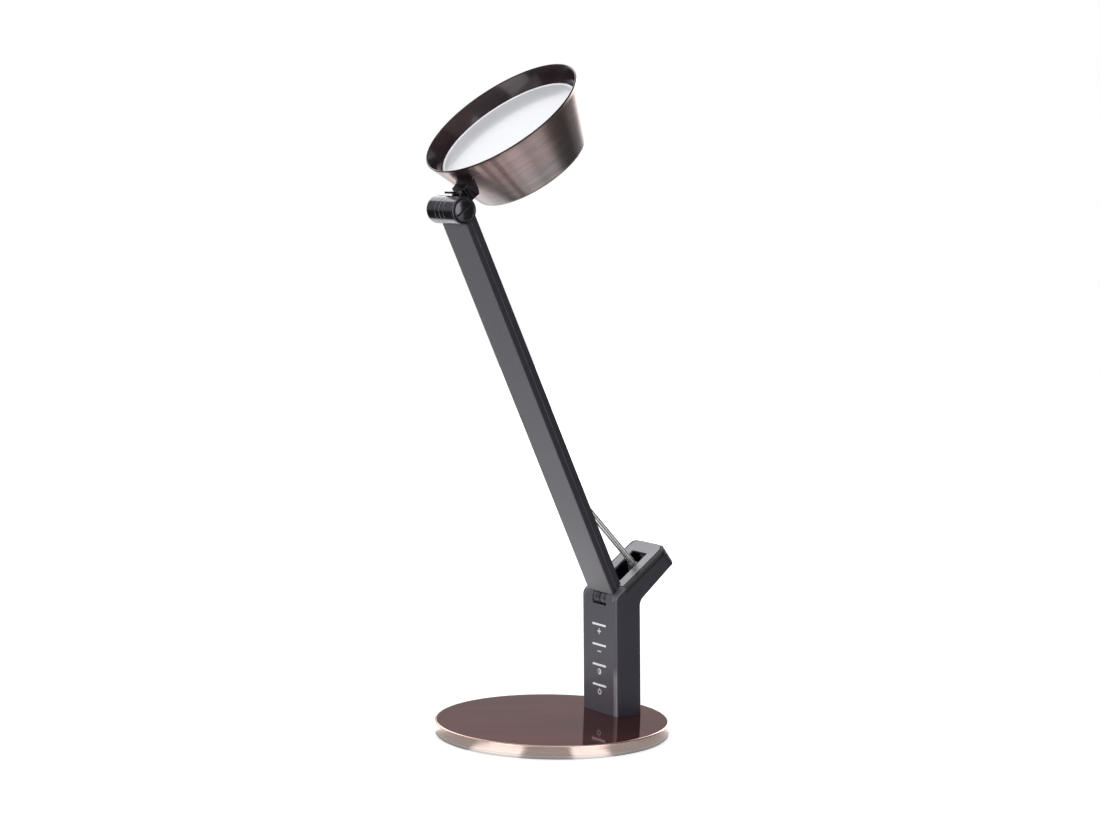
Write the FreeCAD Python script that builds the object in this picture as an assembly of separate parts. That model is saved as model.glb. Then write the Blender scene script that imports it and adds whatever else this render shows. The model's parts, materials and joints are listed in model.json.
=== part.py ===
import FreeCAD, Part
import math
import os

os.makedirs("parts", exist_ok=True)

# Desk lamp with a round base, a Y-shaped touch column, a tilting arm with a stay, and a round head.
# Millimetres. +Z is up, the arm leans towards -Y, and +X is to the right seen from the front.
# The origin is the centre of the base's underside, on the desk.

# Clearances
run_gap = 0.05        # radial, a pin that turns in its hole
seat_gap = 0.1        # loose fit of a fixed piece
move_gap = 0.4        # between pieces that pass each other

# Base
base_r = 90.0
base_h = 10.5
base_sheet = 1.2
base_edge_r = 1.0
base_skirt_z = 3.0    # lower edge of the brushed rim
plate_step_in = 0.8   # base rim to the edge of the bottom plate
plate_flange_t = 0.9
sheet_proud = 0.3     # how far the non-slip sheet lifts the bottom plate
sheet_recess = 0.4
sheet_in = 4.0        # step to the edge of the sheet
plate_screw_r = 1.5
plate_screw_head_r = 2.8
plate_screw_head_t = 1.4
plate_screw_circle_r = 50.0
plate_screw_count = 4

# Column, set out from the hinge axis of the arm
hinge_inset = 40.6    # base rim behind the column to the hinge axis
hinge_z = 100.9
cheek_r = 6.8         # hinge axis to the front face, and to the sloping face
column_w = 44.6
column_d = 23.8
column_lean = 1.67    # degrees, towards the front
column_wall = 2.0
column_edge_r = 1.8
seam_depth = 4.2      # front cover's depth, from its outer face to the seam
incline_angle = 36.66
incline_reach = 57.0  # hinge axis to the end of the branch, along the slope
incline_end_t = 15.3
underside_angle = 40.2
branch_top_r = 0.8
branch_low_r = 3.0
branch_corner_r = 8.0   # the branch's end corners, seen from above the slope
throat_r = 8.5
notch_w = 18.6        # opening for the arm's knuckle
notch_drop = 4.9      # hinge axis to the notch's lower edge
notch_reach = 8.0
slot_w = 19.0         # opening for the stay's foot
slot_from = 13.6
slot_to = 45.1
slot_corner_r = 1.0
trim_w = 36.4         # grey trim plate round the slot
trim_from = 8.5
trim_to = 56.5
trim_t = 1.0
trim_proud = 0.5      # above the sloping face
trim_corner_r = 7.0
trim_near_r = 1.0

# Touch keys with their light bars
bar_top = 20.9        # hinge axis down to the first light bar
bar_pitch = 15.9
bar_count = 4
bar_len = 17.6
bar_h = 1.6
bar_proud = 0.15
key_drop = 5.2        # light bar to the centre of its touch pad
pad_touch_r = 3.4
touch_gap = 1.5       # wall to board
board_t = 1.6
board_w = 26.0
touch_board_top = 14.0
touch_board_h = 68.0
board_screw_r = 1.0
board_screw_head_r = 1.9
board_screw_head_t = 1.0
board_screw_x = 10.0
board_screw_in = 3.0      # from the boards' upper and lower edges
board_post_r = 2.2
post_sink = 0.2           # how deep a post is rooted in its wall

# Driver board and power inlet
driver_top = 34.0
driver_h = 36.0
driver_stand = 3.0
coil_size = 12.0
coil_h = 6.0
capacitor_r = 4.0
capacitor_len = 16.0
jack_z = 22.0
jack_w = 9.0
jack_h = 11.0
jack_deep = 14.0
jack_bore_r = 2.8
jack_bore_deep = 9.5
jack_pin_r = 1.0
jack_collar_r = 4.0

# Fastenings of the column
column_screw_r = 2.0
column_screw_head_r = 3.6
column_screw_head_t = 2.4
column_screw_x = 13.5
column_boss_r = 4.2
column_boss_h = 13.0
column_boss_sink = 0.8
screw_tip_gap = 1.0       # below the floor of a blind hole
cover_screw_r = 1.25
cover_screw_head_r = 2.2
cover_screw_head_t = 1.2
cover_screw_x = 16.6
cover_screw_top = 18.0    # hinge axis down to the screws
cover_screw_low = 68.0
cover_post_r = 2.7
cover_screw_skin = 1.6    # front face to the screws' tips

# Hinge of the arm
hinge_pin_r = 2.0
hinge_frame_x = 9.8   # inner face of the frame's ears
hinge_frame_t = 2.0
hinge_ear_r = 4.2
hinge_leg_front = 0.5
hinge_leg_back = 9.0
hinge_leg_h = 30.0
hinge_web_h = 16.0
knuckle_r = 6.2
knuckle_w = 17.8
knuckle_groove_w = 1.2
knuckle_groove_deep = 1.2
frame_screw_r = 1.25
frame_screw_head_r = 2.3
frame_screw_head_t = 1.4
frame_screw_top = 18.0
frame_screw_low = 26.0
frame_boss_r = 3.2

# Arm
arm_lean = 25.84      # degrees from upright, towards the front
arm_len = 333.6       # hinge axis to the barrel's axis
arm_w = 32.9
arm_t = 10.5
arm_front = 2.96      # front face ahead of the hinge axis
arm_wall = 1.5
arm_edge_r = 1.0
arm_back_tilt = 8.0   # how far the arm can tilt back from rest
arm_forward_tilt = 40.0
plug_from = 11.0
plug_len = 30.0
tongue_v = 3.6        # rear face of the knuckle's tongue
arm_screw_r = 1.25
arm_screw_head_r = 2.3
arm_screw_head_t = 0.9
arm_screw_x = 9.0
arm_screw_in = 14.0   # from the end of each plug

# Stay between the column's branch and the arm
foot_s = 35.0         # foot pivot, from the hinge axis along the slope
foot_d = 3.4          # and square to it
slider_u = 104.7      # slider pin in the arm, from the hinge axis along the arm
slider_back = 0.15    # and behind the arm's middle
foot_pin_r = 1.5
slider_pin_r = 1.2
slider_head_r = 1.7
slider_head_t = 0.6
bar_thick = 1.2
bar_foot_deep = 3.4
bar_slider_deep = 3.0
bar_foot_eye_r = 2.4
bar_slider_eye_r = 1.9
bar_foot_x = 1.7
bar_slider_x = 3.0
guide_x = 4.4
guide_t = 1.4
guide_web_t = 0.7
guide_margin = 7.0
guide_bridge = 3.0
guide_slot_spare = 1.5   # degrees of spare travel at each end
arm_slot_w = 9.0
arm_slot_spare = 1.5   # beyond the stay at both ends of its travel
bracket_x = 3.0
bracket_t = 1.6
bracket_ear_r = 2.4
bracket_floor_d = 7.0
bracket_floor_t = 1.5
bracket_half_len = 10.0
bracket_ear_in = 2.0
bracket_screw_r = 1.25
bracket_screw_head_r = 2.3
bracket_screw_head_t = 1.2
bracket_screw_s = 6.0
bracket_screw_deep = 2.5
bracket_hole_deep = 3.0

# Barrel joint at the top of the arm
barrel_v = -0.7       # barrel axis, square to the arm, from the hinge axis
barrel_r = 10.3
barrel_left = -18.0
cheek_w = 11.3
collar_w = 11.4
cap_t = 2.0
cap_rim_w = 1.0
cap_inner_r = 8.2
cap_recess = 0.7
coin_slot_w = 1.6
coin_slot_deep = 1.0
coin_slot_turn = 9.2
ring_groove_w = 0.6
ring_groove_deep = 0.4
bolt_r = 3.0
bolt_head_r = 6.0
bolt_head_t = 2.5
nut_r = 5.0
nut_t = 3.0
collar_gap = 0.3
ring_plate_r = 8.5
ring_plate_t = 0.13
yoke_plug_len = 34.0

# Neck and saddle, in the head's own directions
head_turn = 38.73     # degrees that the head's axis leans forward from upright
neck_face = 17.15     # barrel axis to the neck's flat face
neck_face_fore = 9.07
neck_face_aft = 2.8
neck_w = 15.6
neck_plate_t = 3.6
neck_plate_taper = 0.6
saddle_t = 3.77       # neck's face to the shade's wall, level with the barrel's axis
neck_root_fore = 67.0     # degrees, where the neck leaves the collar
neck_root_aft = 8.0
stop_tab_z = 11.7        # tab's underside, above the barrel's axis
stop_tab_front = 1.7
stop_tab_root = 6.5
stop_tab_w = 6.0
stop_tab_t = 1.5
saddle_screw_r = 1.5
saddle_screw_head_r = 2.7
saddle_screw_head_t = 1.6
saddle_screw_grip = 4.0
saddle_screw_fore = 5.6
saddle_screw_aft = 0.4

# Shade and light source
shade_rise = 26.18    # barrel axis to the rim's plane, along the head's axis
shade_r = 64.34
shade_back_r = 47.04
shade_h = 46.2
shade_wall = 1.0
shade_back_edge_r = 3.0
shade_bead_r = 0.7
diffuser_depth = 12.7
diffuser_gap = 0.37   # to the shade's wall
diffuser_t = 2.0
diffuser_lip_w = 1.2
diffuser_lip_h = 0.6
tray_flange_gap = 0.42
tray_gap = 1.6        # tray's floor to the shade's wall
tray_wall = 1.2
tray_depth = 21.0     # behind the diffuser
led_board_gap = 5.4   # to the tray's wall
led_board_t = 1.6
led_size = 3.0
led_t = 0.8
led_ring_inner_r = 18.0
led_ring_inner_count = 8
led_ring_outer_r = 34.0
led_ring_outer_count = 16
heat_plate_in = 4.6   # tray's outside to the plate's edge
heat_plate_t = 2.0
heat_boss_r = 12.0
head_screw_r = 1.4
head_screw_head_r = 2.6
head_screw_head_t = 1.4
head_screw_circle_r = 26.0
head_screw_count = 3

# Worked out from the values above
hinge_y = base_r - hinge_inset
plate_step_r = base_r - plate_step_in
sheet_r = plate_step_r - sheet_in
slope = math.radians(incline_angle)
lean = math.radians(column_lean)
arm_rad = math.radians(arm_lean)
head_rad = math.radians(head_turn)
column_half = column_w / 2
base_top = base_h
arm_half = arm_w / 2
arm_rear = arm_t - arm_front
arm_mid = arm_rear - arm_t / 2
far = 200.0           # longer than any piece that a cutter crosses

barrel_y = hinge_y - arm_len * math.sin(arm_rad) + barrel_v * math.cos(arm_rad)
barrel_z = hinge_z + arm_len * math.cos(arm_rad) + barrel_v * math.sin(arm_rad)
collar_left = barrel_left + cheek_w + collar_gap / 2
collar_right = collar_left + collar_w - collar_gap
right_cheek = barrel_left + cheek_w + collar_w
cap_left = right_cheek + cheek_w

foot_y = hinge_y + foot_s * math.cos(slope) - foot_d * math.sin(slope)
foot_z = hinge_z + foot_s * math.sin(slope) + foot_d * math.cos(slope)
foot_arm_r = math.hypot(foot_s, foot_d)
foot_arm_angle = math.radians(90 + arm_lean) - slope - math.atan2(foot_d, foot_s)
foot_u = foot_arm_r * math.cos(foot_arm_angle)
foot_v = foot_arm_r * math.sin(foot_arm_angle)
slider_v = arm_mid + slider_back
stay_len = math.hypot(slider_u - foot_u, foot_v - slider_v)
stay_turn = arm_lean + math.degrees(math.atan2(foot_v - slider_v, slider_u - foot_u))

shade_slope = (shade_r - shade_back_r) / shade_h
shade_reach = neck_face + saddle_t + shade_r - shade_slope * shade_rise   # barrel axis to the shade's axis
wall_out = shade_wall * math.hypot(1, shade_slope)
shade_back_z = shade_rise - shade_h


# Helpers

def vec(x, y, z):
    return FreeCAD.Vector(x, y, z)


def box(x0, x1, y0, y1, z0, z1):
    return Part.makeBox(x1 - x0, y1 - y0, z1 - z0, vec(x0, y0, z0))


def rod_x(radius, x0, x1, y, z):
    return Part.makeCylinder(radius, x1 - x0, vec(x0, y, z), vec(1, 0, 0))


def rod_y(radius, y0, y1, x, z):
    return Part.makeCylinder(radius, y1 - y0, vec(x, y0, z), vec(0, 1, 0))


def rod_z(radius, z0, z1, x, y):
    return Part.makeCylinder(radius, z1 - z0, vec(x, y, z0), vec(0, 0, 1))


def fuse_all(shapes):
    result = shapes[0]
    for other in shapes[1:]:
        result = result.fuse(other)
    return result.removeSplitter()


def cut_all(shape, cutters):
    for cutter in cutters:
        shape = shape.cut(cutter)
    return shape


def corner_arc(before, corner, after, radius):
    """Two tangent points and the arc's middle for a rounded corner."""
    to_before = (before - corner).normalize()
    to_after = (after - corner).normalize()
    half = to_before.getAngle(to_after) / 2
    reach = radius / math.tan(half)
    middle = (to_before + to_after).normalize()
    start = corner + to_before * reach
    end = corner + to_after * reach
    centre = corner + middle * (radius / math.sin(half))
    return start, centre - middle * radius, end


def outline_face(corners, place):
    """Face through corners (a, b, radius); place turns (a, b) into a point."""
    points = [place(a, b) for a, b, radius in corners]
    edges = []
    joints = []
    for i, (a, b, radius) in enumerate(corners):
        corner = points[i]
        if radius > 0:
            start, middle, end = corner_arc(points[i - 1], corner, points[(i + 1) % len(points)], radius)
            joints.append((start, end))
            edges.append(Part.Arc(start, middle, end).toShape())
        else:
            joints.append((corner, corner))
    for i in range(len(joints)):
        start = joints[i][1]
        end = joints[(i + 1) % len(joints)][0]
        if (end - start).Length > 1e-6:
            edges.append(Part.LineSegment(start, end).toShape())
    return Part.Face(Part.Wire(Part.__sortEdges__(edges)))


def prism_x(corners, x0, x1):
    """Solid with a side outline of (y, z, radius) corners, from x0 to x1."""
    face = outline_face(corners, lambda y, z: vec(x0, y, z))
    return face.extrude(vec(x1 - x0, 0, 0))


def prism_z(corners, z0, z1):
    """Solid with a plan outline of (x, y, radius) corners, from z0 to z1."""
    face = outline_face(corners, lambda x, y: vec(x, y, z0))
    return face.extrude(vec(0, 0, z1 - z0))


def prism_y(corners, y0, y1):
    """Solid with a front outline of (x, z, radius) corners, from y0 to y1."""
    face = outline_face(corners, lambda x, z: vec(x, y0, z))
    return face.extrude(vec(0, y1 - y0, 0))


def turned(shape, degrees, y, z):
    """Moves a shape from its own frame: tilted forward about X, origin to (y, z)."""
    shape = shape.copy()
    shape.rotate(vec(0, 0, 0), vec(1, 0, 0), degrees)
    shape.translate(vec(0, y, z))
    return shape


def from_slope(shape):
    """Slope frame: Y along the branch, Z square to it, origin on the hinge axis."""
    return turned(shape, incline_angle, hinge_y, hinge_z)


def from_column(shape):
    """Column frame: Z up the leaning column, origin on the hinge axis."""
    return turned(shape, column_lean, hinge_y, hinge_z)


def from_arm(shape):
    """Arm frame: Z along the arm, Y to its rear, origin on the hinge axis."""
    return turned(shape, arm_lean, hinge_y, hinge_z)


def from_stay(shape):
    """Stay frame: Z along the stay, origin on its foot pin."""
    return turned(shape, stay_turn, foot_y, foot_z)


def from_head(shape):
    """Head frame: Z along the head's axis, origin on the barrel's axis."""
    return turned(shape, head_turn, barrel_y, barrel_z)


def ring_points(radius, count, first=0.0):
    """Evenly spaced (x, y) places on a circle, the first at an angle in degrees."""
    places = []
    for i in range(count):
        angle = math.radians(first + 360.0 * i / count)
        places.append((radius * math.cos(angle), radius * math.sin(angle)))
    return places


def line_cross(p, d, q, e):
    """Where the lines through p along d and through q along e cross."""
    det = d[0] * e[1] - d[1] * e[0]
    t = ((q[0] - p[0]) * e[1] - (q[1] - p[1]) * e[0]) / det
    return (p[0] + d[0] * t, p[1] + d[1] * t)


def screw_z(radius, head_r, head_t, length, x, y, z_head, up=True):
    """Plain screw along Z: head from z_head, shank beyond it."""
    if up:
        head = rod_z(head_r, z_head, z_head + head_t, x, y)
        shank = rod_z(radius, z_head + head_t, z_head + head_t + length, x, y)
    else:
        head = rod_z(head_r, z_head - head_t, z_head, x, y)
        shank = rod_z(radius, z_head - head_t - length, z_head - head_t, x, y)
    slot = box(x - head_r, x + head_r, y - head_r / 6, y + head_r / 6,
               z_head if up else z_head - head_t / 2, z_head + head_t / 2 if up else z_head)
    return head.fuse(shank).removeSplitter().cut(slot)


def screw_y(radius, head_r, head_t, length, x, z, y_head, to_front=True):
    """Plain screw along Y: head at y_head, shank towards the front or the rear."""
    sign = -1 if to_front else 1
    y_mid = y_head + sign * head_t
    y_end = y_mid + sign * length
    head = rod_y(head_r, min(y_head, y_mid), max(y_head, y_mid), x, z)
    shank = rod_y(radius, min(y_mid, y_end), max(y_mid, y_end), x, z)
    y_slot = y_head + sign * head_t / 2
    slot = box(x - head_r, x + head_r, min(y_head, y_slot), max(y_head, y_slot),
               z - head_r / 6, z + head_r / 6)
    return head.fuse(shank).removeSplitter().cut(slot)


# Base

weight_r = base_r - base_sheet - seat_gap
weight_top = base_top - base_sheet
weight_bottom = base_skirt_z + plate_flange_t
column_y = hinge_y - cheek_r + column_d / 2 + (hinge_z - base_top) * math.tan(lean)
boss_y = column_y + column_d / 2 - column_wall - column_boss_r + column_boss_sink
column_screw_places = [(-column_screw_x, boss_y), (column_screw_x, boss_y)]
plate_screw_places = ring_points(plate_screw_circle_r, plate_screw_count, 45.0)


def make_base_cover():
    outer = rod_z(base_r, base_skirt_z, base_top, 0, 0)
    top_edges = [e for e in outer.Edges if abs(e.BoundBox.ZMin - base_top) < 1e-6 and e.Closed]
    outer = outer.makeFillet(base_edge_r, top_edges)
    inner = rod_z(base_r - base_sheet, base_skirt_z, weight_top, 0, 0)
    holes = [rod_z(column_screw_r + seat_gap, 0, base_h + 1, x, y) for x, y in column_screw_places]
    return cut_all(outer.cut(inner), holes)


def make_base_weight():
    disc = rod_z(weight_r, weight_bottom, weight_top, 0, 0)
    cutters = []
    for x, y in column_screw_places:
        cutters.append(rod_z(column_screw_r + seat_gap, 0, base_h, x, y))
        cutters.append(rod_z(column_screw_head_r + seat_gap, weight_bottom,
                             weight_bottom + column_screw_head_t + seat_gap, x, y))
    for x, y in plate_screw_places:
        cutters.append(rod_z(plate_screw_r + run_gap, weight_bottom, weight_top, x, y))
    return cut_all(disc, cutters)


def make_base_plate():
    flange = rod_z(weight_r, base_skirt_z, weight_bottom, 0, 0)
    step = rod_z(plate_step_r, sheet_proud, base_skirt_z, 0, 0)
    plate = fuse_all([flange, step])
    cutters = [rod_z(sheet_r + seat_gap, sheet_proud, sheet_proud + sheet_recess, 0, 0)]
    for x, y in plate_screw_places:
        cutters.append(rod_z(plate_screw_r + seat_gap, 0, base_h, x, y))
        cutters.append(rod_z(plate_screw_head_r + seat_gap, 0,
                             sheet_proud + sheet_recess + plate_screw_head_t, x, y))
    return cut_all(plate, cutters)


def make_non_slip_sheet():
    return rod_z(sheet_r, 0, sheet_proud + sheet_recess, 0, 0)


def make_base_plate_screws():
    head_z = sheet_proud + sheet_recess
    length = weight_top - head_z - plate_screw_head_t
    return Part.makeCompound([
        screw_z(plate_screw_r, plate_screw_head_r, plate_screw_head_t, length, x, y, head_z)
        for x, y in plate_screw_places])


def make_column_screws():
    length = base_top + column_boss_h - 2 * screw_tip_gap - weight_bottom - column_screw_head_t
    return Part.makeCompound([
        screw_z(column_screw_r, column_screw_head_r, column_screw_head_t, length, x, y, weight_bottom)
        for x, y in column_screw_places])


# Column outline: front, sloping top, end, underside and rear lines, moved inwards by an inset

def column_corners(inset):
    up = (-math.sin(lean), math.cos(lean))
    along = (math.cos(slope), math.sin(slope))
    square = (-math.sin(slope), math.cos(slope))
    under = math.radians(underside_angle)
    under_dir = (math.cos(under), math.sin(under))
    under_out = (math.sin(under), -math.cos(under))
    front_off = cheek_r - inset
    front = (hinge_y - front_off * math.cos(lean), hinge_z - front_off * math.sin(lean))
    rear_off = column_d - cheek_r - inset
    rear = (hinge_y + rear_off * math.cos(lean), hinge_z + rear_off * math.sin(lean))
    top = (hinge_y + front_off * square[0], hinge_z + front_off * square[1])
    reach = incline_reach - inset
    end = (hinge_y + reach * along[0], hinge_z + reach * along[1])
    low = cheek_r - incline_end_t
    under_at = (hinge_y + incline_reach * along[0] + low * square[0] - inset * under_out[0],
                hinge_z + incline_reach * along[1] + low * square[1] - inset * under_out[1])
    floor = (0.0, base_top)
    flat = (1.0, 0.0)
    return [
        line_cross(floor, flat, front, up) + (0.0,),
        line_cross(front, up, top, along) + (cheek_r - inset,),
        line_cross(top, along, end, square) + (max(branch_top_r - inset, 0.5),),
        line_cross(end, square, under_at, under_dir) + (max(branch_low_r - inset, 0.5),),
        line_cross(under_at, under_dir, rear, up) + (throat_r + inset,),
        line_cross(floor, flat, rear, up) + (0.0,),
    ]


def column_shell():
    """Whole hollow column before it is split into its cover and its rear shell."""
    outer = prism_x(column_corners(0), -column_half, column_half)
    rims = []
    for edge in outer.Edges:
        ends = edge.BoundBox
        on_side = abs(abs(ends.XMin) - column_half) < 1e-6 and ends.XLength < 1e-6
        if on_side and ends.ZMax > base_top + 1e-3:
            rims.append(edge)
    outer = outer.makeFillet(column_edge_r, rims)
    outer = outer.common(from_slope(prism_z([(-column_half, -far, 0), (column_half, -far, 0),
                                             (column_half, incline_reach, branch_corner_r),
                                             (-column_half, incline_reach, branch_corner_r)], -far, far)))
    inner = prism_x(column_corners(column_wall), -column_half + column_wall, column_half - column_wall)
    return outer.cut(inner)


def behind_seam():
    """Everything behind and below the seam between cover and rear shell."""
    corners = column_corners(seam_depth)
    along = (math.cos(slope), math.sin(slope))
    bend = corners[1]
    far_end = (bend[0] + far * along[0], bend[1] + far * along[1])
    foot = corners[0]
    return prism_x([(foot[0], foot[1] - 1, 0), (bend[0], bend[1], 0), (far_end[0], far_end[1], 0),
                    (far_end[0], foot[1] - 1, 0)], -far, far)


front_face = -cheek_r                     # in the column frame
front_inner = front_face + column_wall
rear_face = front_face + column_d
rear_inner = rear_face - column_wall
touch_board_front = front_inner + touch_gap
touch_board_rear = touch_board_front + board_t
driver_board_rear = rear_inner - driver_stand
slot_mid = (slot_from + slot_to) / 2
bar_rows = [-(bar_top + i * bar_pitch) for i in range(bar_count)]
board_screw_rows = (-(touch_board_top + board_screw_in), -(touch_board_top + touch_board_h - board_screw_in))
driver_screw_rows = (-(driver_top + board_screw_in), -(driver_top + driver_h - board_screw_in))
cover_screw_rows = (cover_screw_top, cover_screw_low)
frame_screw_rows = (frame_screw_top, frame_screw_low)


def pill(length, height, radius, x, z, y0, y1):
    """Flat bar with round ends, seen from the front."""
    half = length / 2
    tall = height / 2
    return prism_y([(x - half, z - tall, radius), (x + half, z - tall, radius),
                    (x + half, z + tall, radius), (x - half, z + tall, radius)], y0, y1)


def make_column_cover(shell):
    cover = shell.cut(behind_seam())
    adds = []
    for x in (-board_screw_x, board_screw_x):
        for z in board_screw_rows:
            adds.append(from_column(rod_y(board_post_r, front_inner - post_sink, touch_board_front, x, z)))
    for x in (-cover_screw_x, cover_screw_x):
        for z in cover_screw_rows:
            post = rod_y(cover_post_r, front_inner - post_sink, front_face + seam_depth, x, -z)
            adds.append(from_column(post))
    cover = fuse_all([cover] + adds)
    cutters = [
        from_column(box(-notch_w / 2, notch_w / 2, -far, 0, -notch_drop, far)),
        from_slope(box(-notch_w / 2, notch_w / 2, 0, notch_reach, -cheek_r / 2, far)),
        from_slope(prism_z([(-slot_w / 2, slot_from, slot_corner_r), (slot_w / 2, slot_from, slot_corner_r),
                            (slot_w / 2, slot_to, slot_corner_r), (-slot_w / 2, slot_to, slot_corner_r)],
                           0, far)),
        from_slope(trim_solid(seat_gap / 2, cheek_r - trim_t, far)),
    ]
    for z in bar_rows:
        cutters.append(from_column(pill(bar_len + 2 * run_gap, bar_h + 2 * run_gap, bar_h / 2 - run_gap,
                                        0, z, front_face - 1, front_inner + 1)))
    for x in (-board_screw_x, board_screw_x):
        for z in board_screw_rows:
            hole = rod_y(board_screw_r + run_gap, front_inner - 1, touch_board_front, x, z)
            cutters.append(from_column(hole))
    for x in (-cover_screw_x, cover_screw_x):
        for z in cover_screw_rows:
            cutters.append(from_column(rod_y(cover_screw_r + run_gap, front_face + 1,
                                             front_face + seam_depth, x, -z)))
    return cut_all(cover, cutters)


def trim_solid(grow, z0, z1):
    """Trim plate's outline in the slope frame, grown by a clearance."""
    half = trim_w / 2 + grow
    near = trim_from - grow
    end = trim_to + grow
    return prism_z([(-half, near, trim_near_r), (half, near, trim_near_r),
                    (half, end, trim_corner_r), (-half, end, trim_corner_r)], z0, z1)


def make_slot_trim():
    plate = trim_solid(0, cheek_r - trim_t, cheek_r + trim_proud)
    slot = prism_z([(-slot_w / 2, slot_from, slot_corner_r), (slot_w / 2, slot_from, slot_corner_r),
                    (slot_w / 2, slot_to, slot_corner_r), (-slot_w / 2, slot_to, slot_corner_r)],
                   cheek_r - trim_t - 1, cheek_r + trim_proud + 1)
    return from_slope(plate.cut(slot))


def make_column_rear(shell):
    rear = shell.common(behind_seam())
    adds = []
    for x, y in column_screw_places:
        adds.append(rod_z(column_boss_r, base_top, base_top + column_boss_h, x, y))
    for x in (-board_screw_x, board_screw_x):
        for z in driver_screw_rows:
            adds.append(from_column(rod_y(board_post_r, driver_board_rear, rear_inner + post_sink, x, z)))
    for x in (-cover_screw_x, cover_screw_x):
        for z in cover_screw_rows:
            post = rod_y(cover_post_r, front_face + seam_depth, rear_inner + post_sink, x, -z)
            adds.append(from_column(post))
    for z in frame_screw_rows:
        adds.append(from_column(rod_y(frame_boss_r, hinge_leg_back, rear_inner + post_sink, 0, -z)))
    pad = from_slope(box(-bracket_x - bracket_t, bracket_x + bracket_t, foot_s - bracket_half_len,
                         foot_s + bracket_half_len, -far, -bracket_floor_d))
    adds.append(pad.common(prism_x(column_corners(column_wall / 2), -column_half, column_half)))
    rear = fuse_all([rear] + adds)
    cutters = []
    for x, y in column_screw_places:
        cutters.append(rod_z(column_screw_r + run_gap, 0, base_top + column_boss_h - screw_tip_gap, x, y))
    for x in (-board_screw_x, board_screw_x):
        for z in driver_screw_rows:
            hole = rod_y(board_screw_r + run_gap, driver_board_rear, rear_inner + 1, x, z)
            cutters.append(from_column(hole))
    for x in (-cover_screw_x, cover_screw_x):
        for z in cover_screw_rows:
            cutters.append(from_column(rod_y(cover_screw_r + seat_gap, front_face, far, x, -z)))
            cutters.append(from_column(rod_y(cover_screw_head_r + seat_gap,
                                             rear_face - cover_screw_head_t, far, x, -z)))
    for z in frame_screw_rows:
        cutters.append(from_column(rod_y(frame_screw_r + run_gap, hinge_leg_back, rear_inner + 1, 0, -z)))
    for s in (-bracket_screw_s, bracket_screw_s):
        hole = rod_z(bracket_screw_r + run_gap, -bracket_floor_d - bracket_hole_deep, 0, 0, foot_s + s)
        cutters.append(from_slope(hole))
    cutters.append(jack_hole())
    return cut_all(rear, cutters)


def rear_wall_y(z):
    """Outer face of the column's rear wall at a height."""
    return hinge_y + (column_d - cheek_r) / math.cos(lean) + (hinge_z - z) * math.tan(lean)


def jack_hole():
    return rod_y(jack_collar_r + seat_gap, 0, far, 0, jack_z).common(
        box(-far, far, rear_wall_y(jack_z) - 2 * column_wall, far, 0, far))


def make_power_jack():
    wall = rear_wall_y(jack_z)
    inner = wall - column_wall - 0.6
    body = box(-jack_w / 2, jack_w / 2, inner - jack_deep, inner, jack_z - jack_h / 2, jack_z + jack_h / 2)
    collar = rod_y(jack_collar_r, inner - 1, wall - 0.3, 0, jack_z)
    bore = rod_y(jack_bore_r, wall - jack_bore_deep, far, 0, jack_z)
    pin = rod_y(jack_pin_r, wall - jack_bore_deep - 1, wall - 2, 0, jack_z)
    return fuse_all([fuse_all([body, collar]).cut(bore), pin])


def make_indicator_bars():
    bars = []
    for z in bar_rows:
        bars.append(from_column(pill(bar_len, bar_h, bar_h / 2 - run_gap, 0, z,
                                     front_face - bar_proud, touch_board_front)))
    return Part.makeCompound(bars)


def make_touch_board():
    bottom = -(touch_board_top + touch_board_h)
    board = box(-board_w / 2, board_w / 2, touch_board_front, touch_board_rear, bottom, -touch_board_top)
    holes = []
    for x in (-board_screw_x, board_screw_x):
        for z in board_screw_rows:
            holes.append(rod_y(board_screw_r + seat_gap, -far, far, x, z))
    return from_column(cut_all(board, holes))


def make_touch_pads():
    pads = []
    for z in bar_rows:
        pads.append(from_column(rod_y(pad_touch_r, front_inner, touch_board_front, 0, z - key_drop)))
    return Part.makeCompound(pads)


def make_board_screws():
    screws = []
    for x in (-board_screw_x, board_screw_x):
        for z in board_screw_rows:
            screws.append(from_column(screw_y(board_screw_r, board_screw_head_r, board_screw_head_t,
                                              board_t + touch_gap + 0.8, x, z,
                                              touch_board_rear + board_screw_head_t)))
        for z in driver_screw_rows:
            front = driver_board_rear - board_t - board_screw_head_t
            screws.append(from_column(screw_y(board_screw_r, board_screw_head_r, board_screw_head_t,
                                              board_t + driver_stand, x, z, front, to_front=False)))
    return Part.makeCompound(screws)


def make_driver_board():
    front = driver_board_rear - board_t
    bottom = -(driver_top + driver_h)
    board = box(-board_w / 2, board_w / 2, front, driver_board_rear, bottom, -driver_top)
    mid = -(driver_top + driver_h / 2)
    coil = box(-board_w / 2 + 1, -board_w / 2 + 1 + coil_size, front - coil_h, front,
               mid - coil_size / 2, mid + coil_size / 2)
    can = Part.makeCylinder(capacitor_r, capacitor_len,
                            vec(board_w / 2 - capacitor_r - 2, front - capacitor_r + 0.4,
                                mid - capacitor_len / 2),
                            vec(0, 0, 1))
    board = fuse_all([board, coil, can])
    holes = []
    for x in (-board_screw_x, board_screw_x):
        for z in driver_screw_rows:
            holes.append(rod_y(board_screw_r + seat_gap, -far, far, x, z))
    return from_column(cut_all(board, holes))


def make_cover_screws():
    screws = []
    length = rear_face - cover_screw_head_t - front_face - cover_screw_skin
    for x in (-cover_screw_x, cover_screw_x):
        for z in cover_screw_rows:
            screws.append(from_column(screw_y(cover_screw_r, cover_screw_head_r, cover_screw_head_t,
                                              length, x, -z, rear_face)))
    return Part.makeCompound(screws)


# Hinge in the column's top

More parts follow.
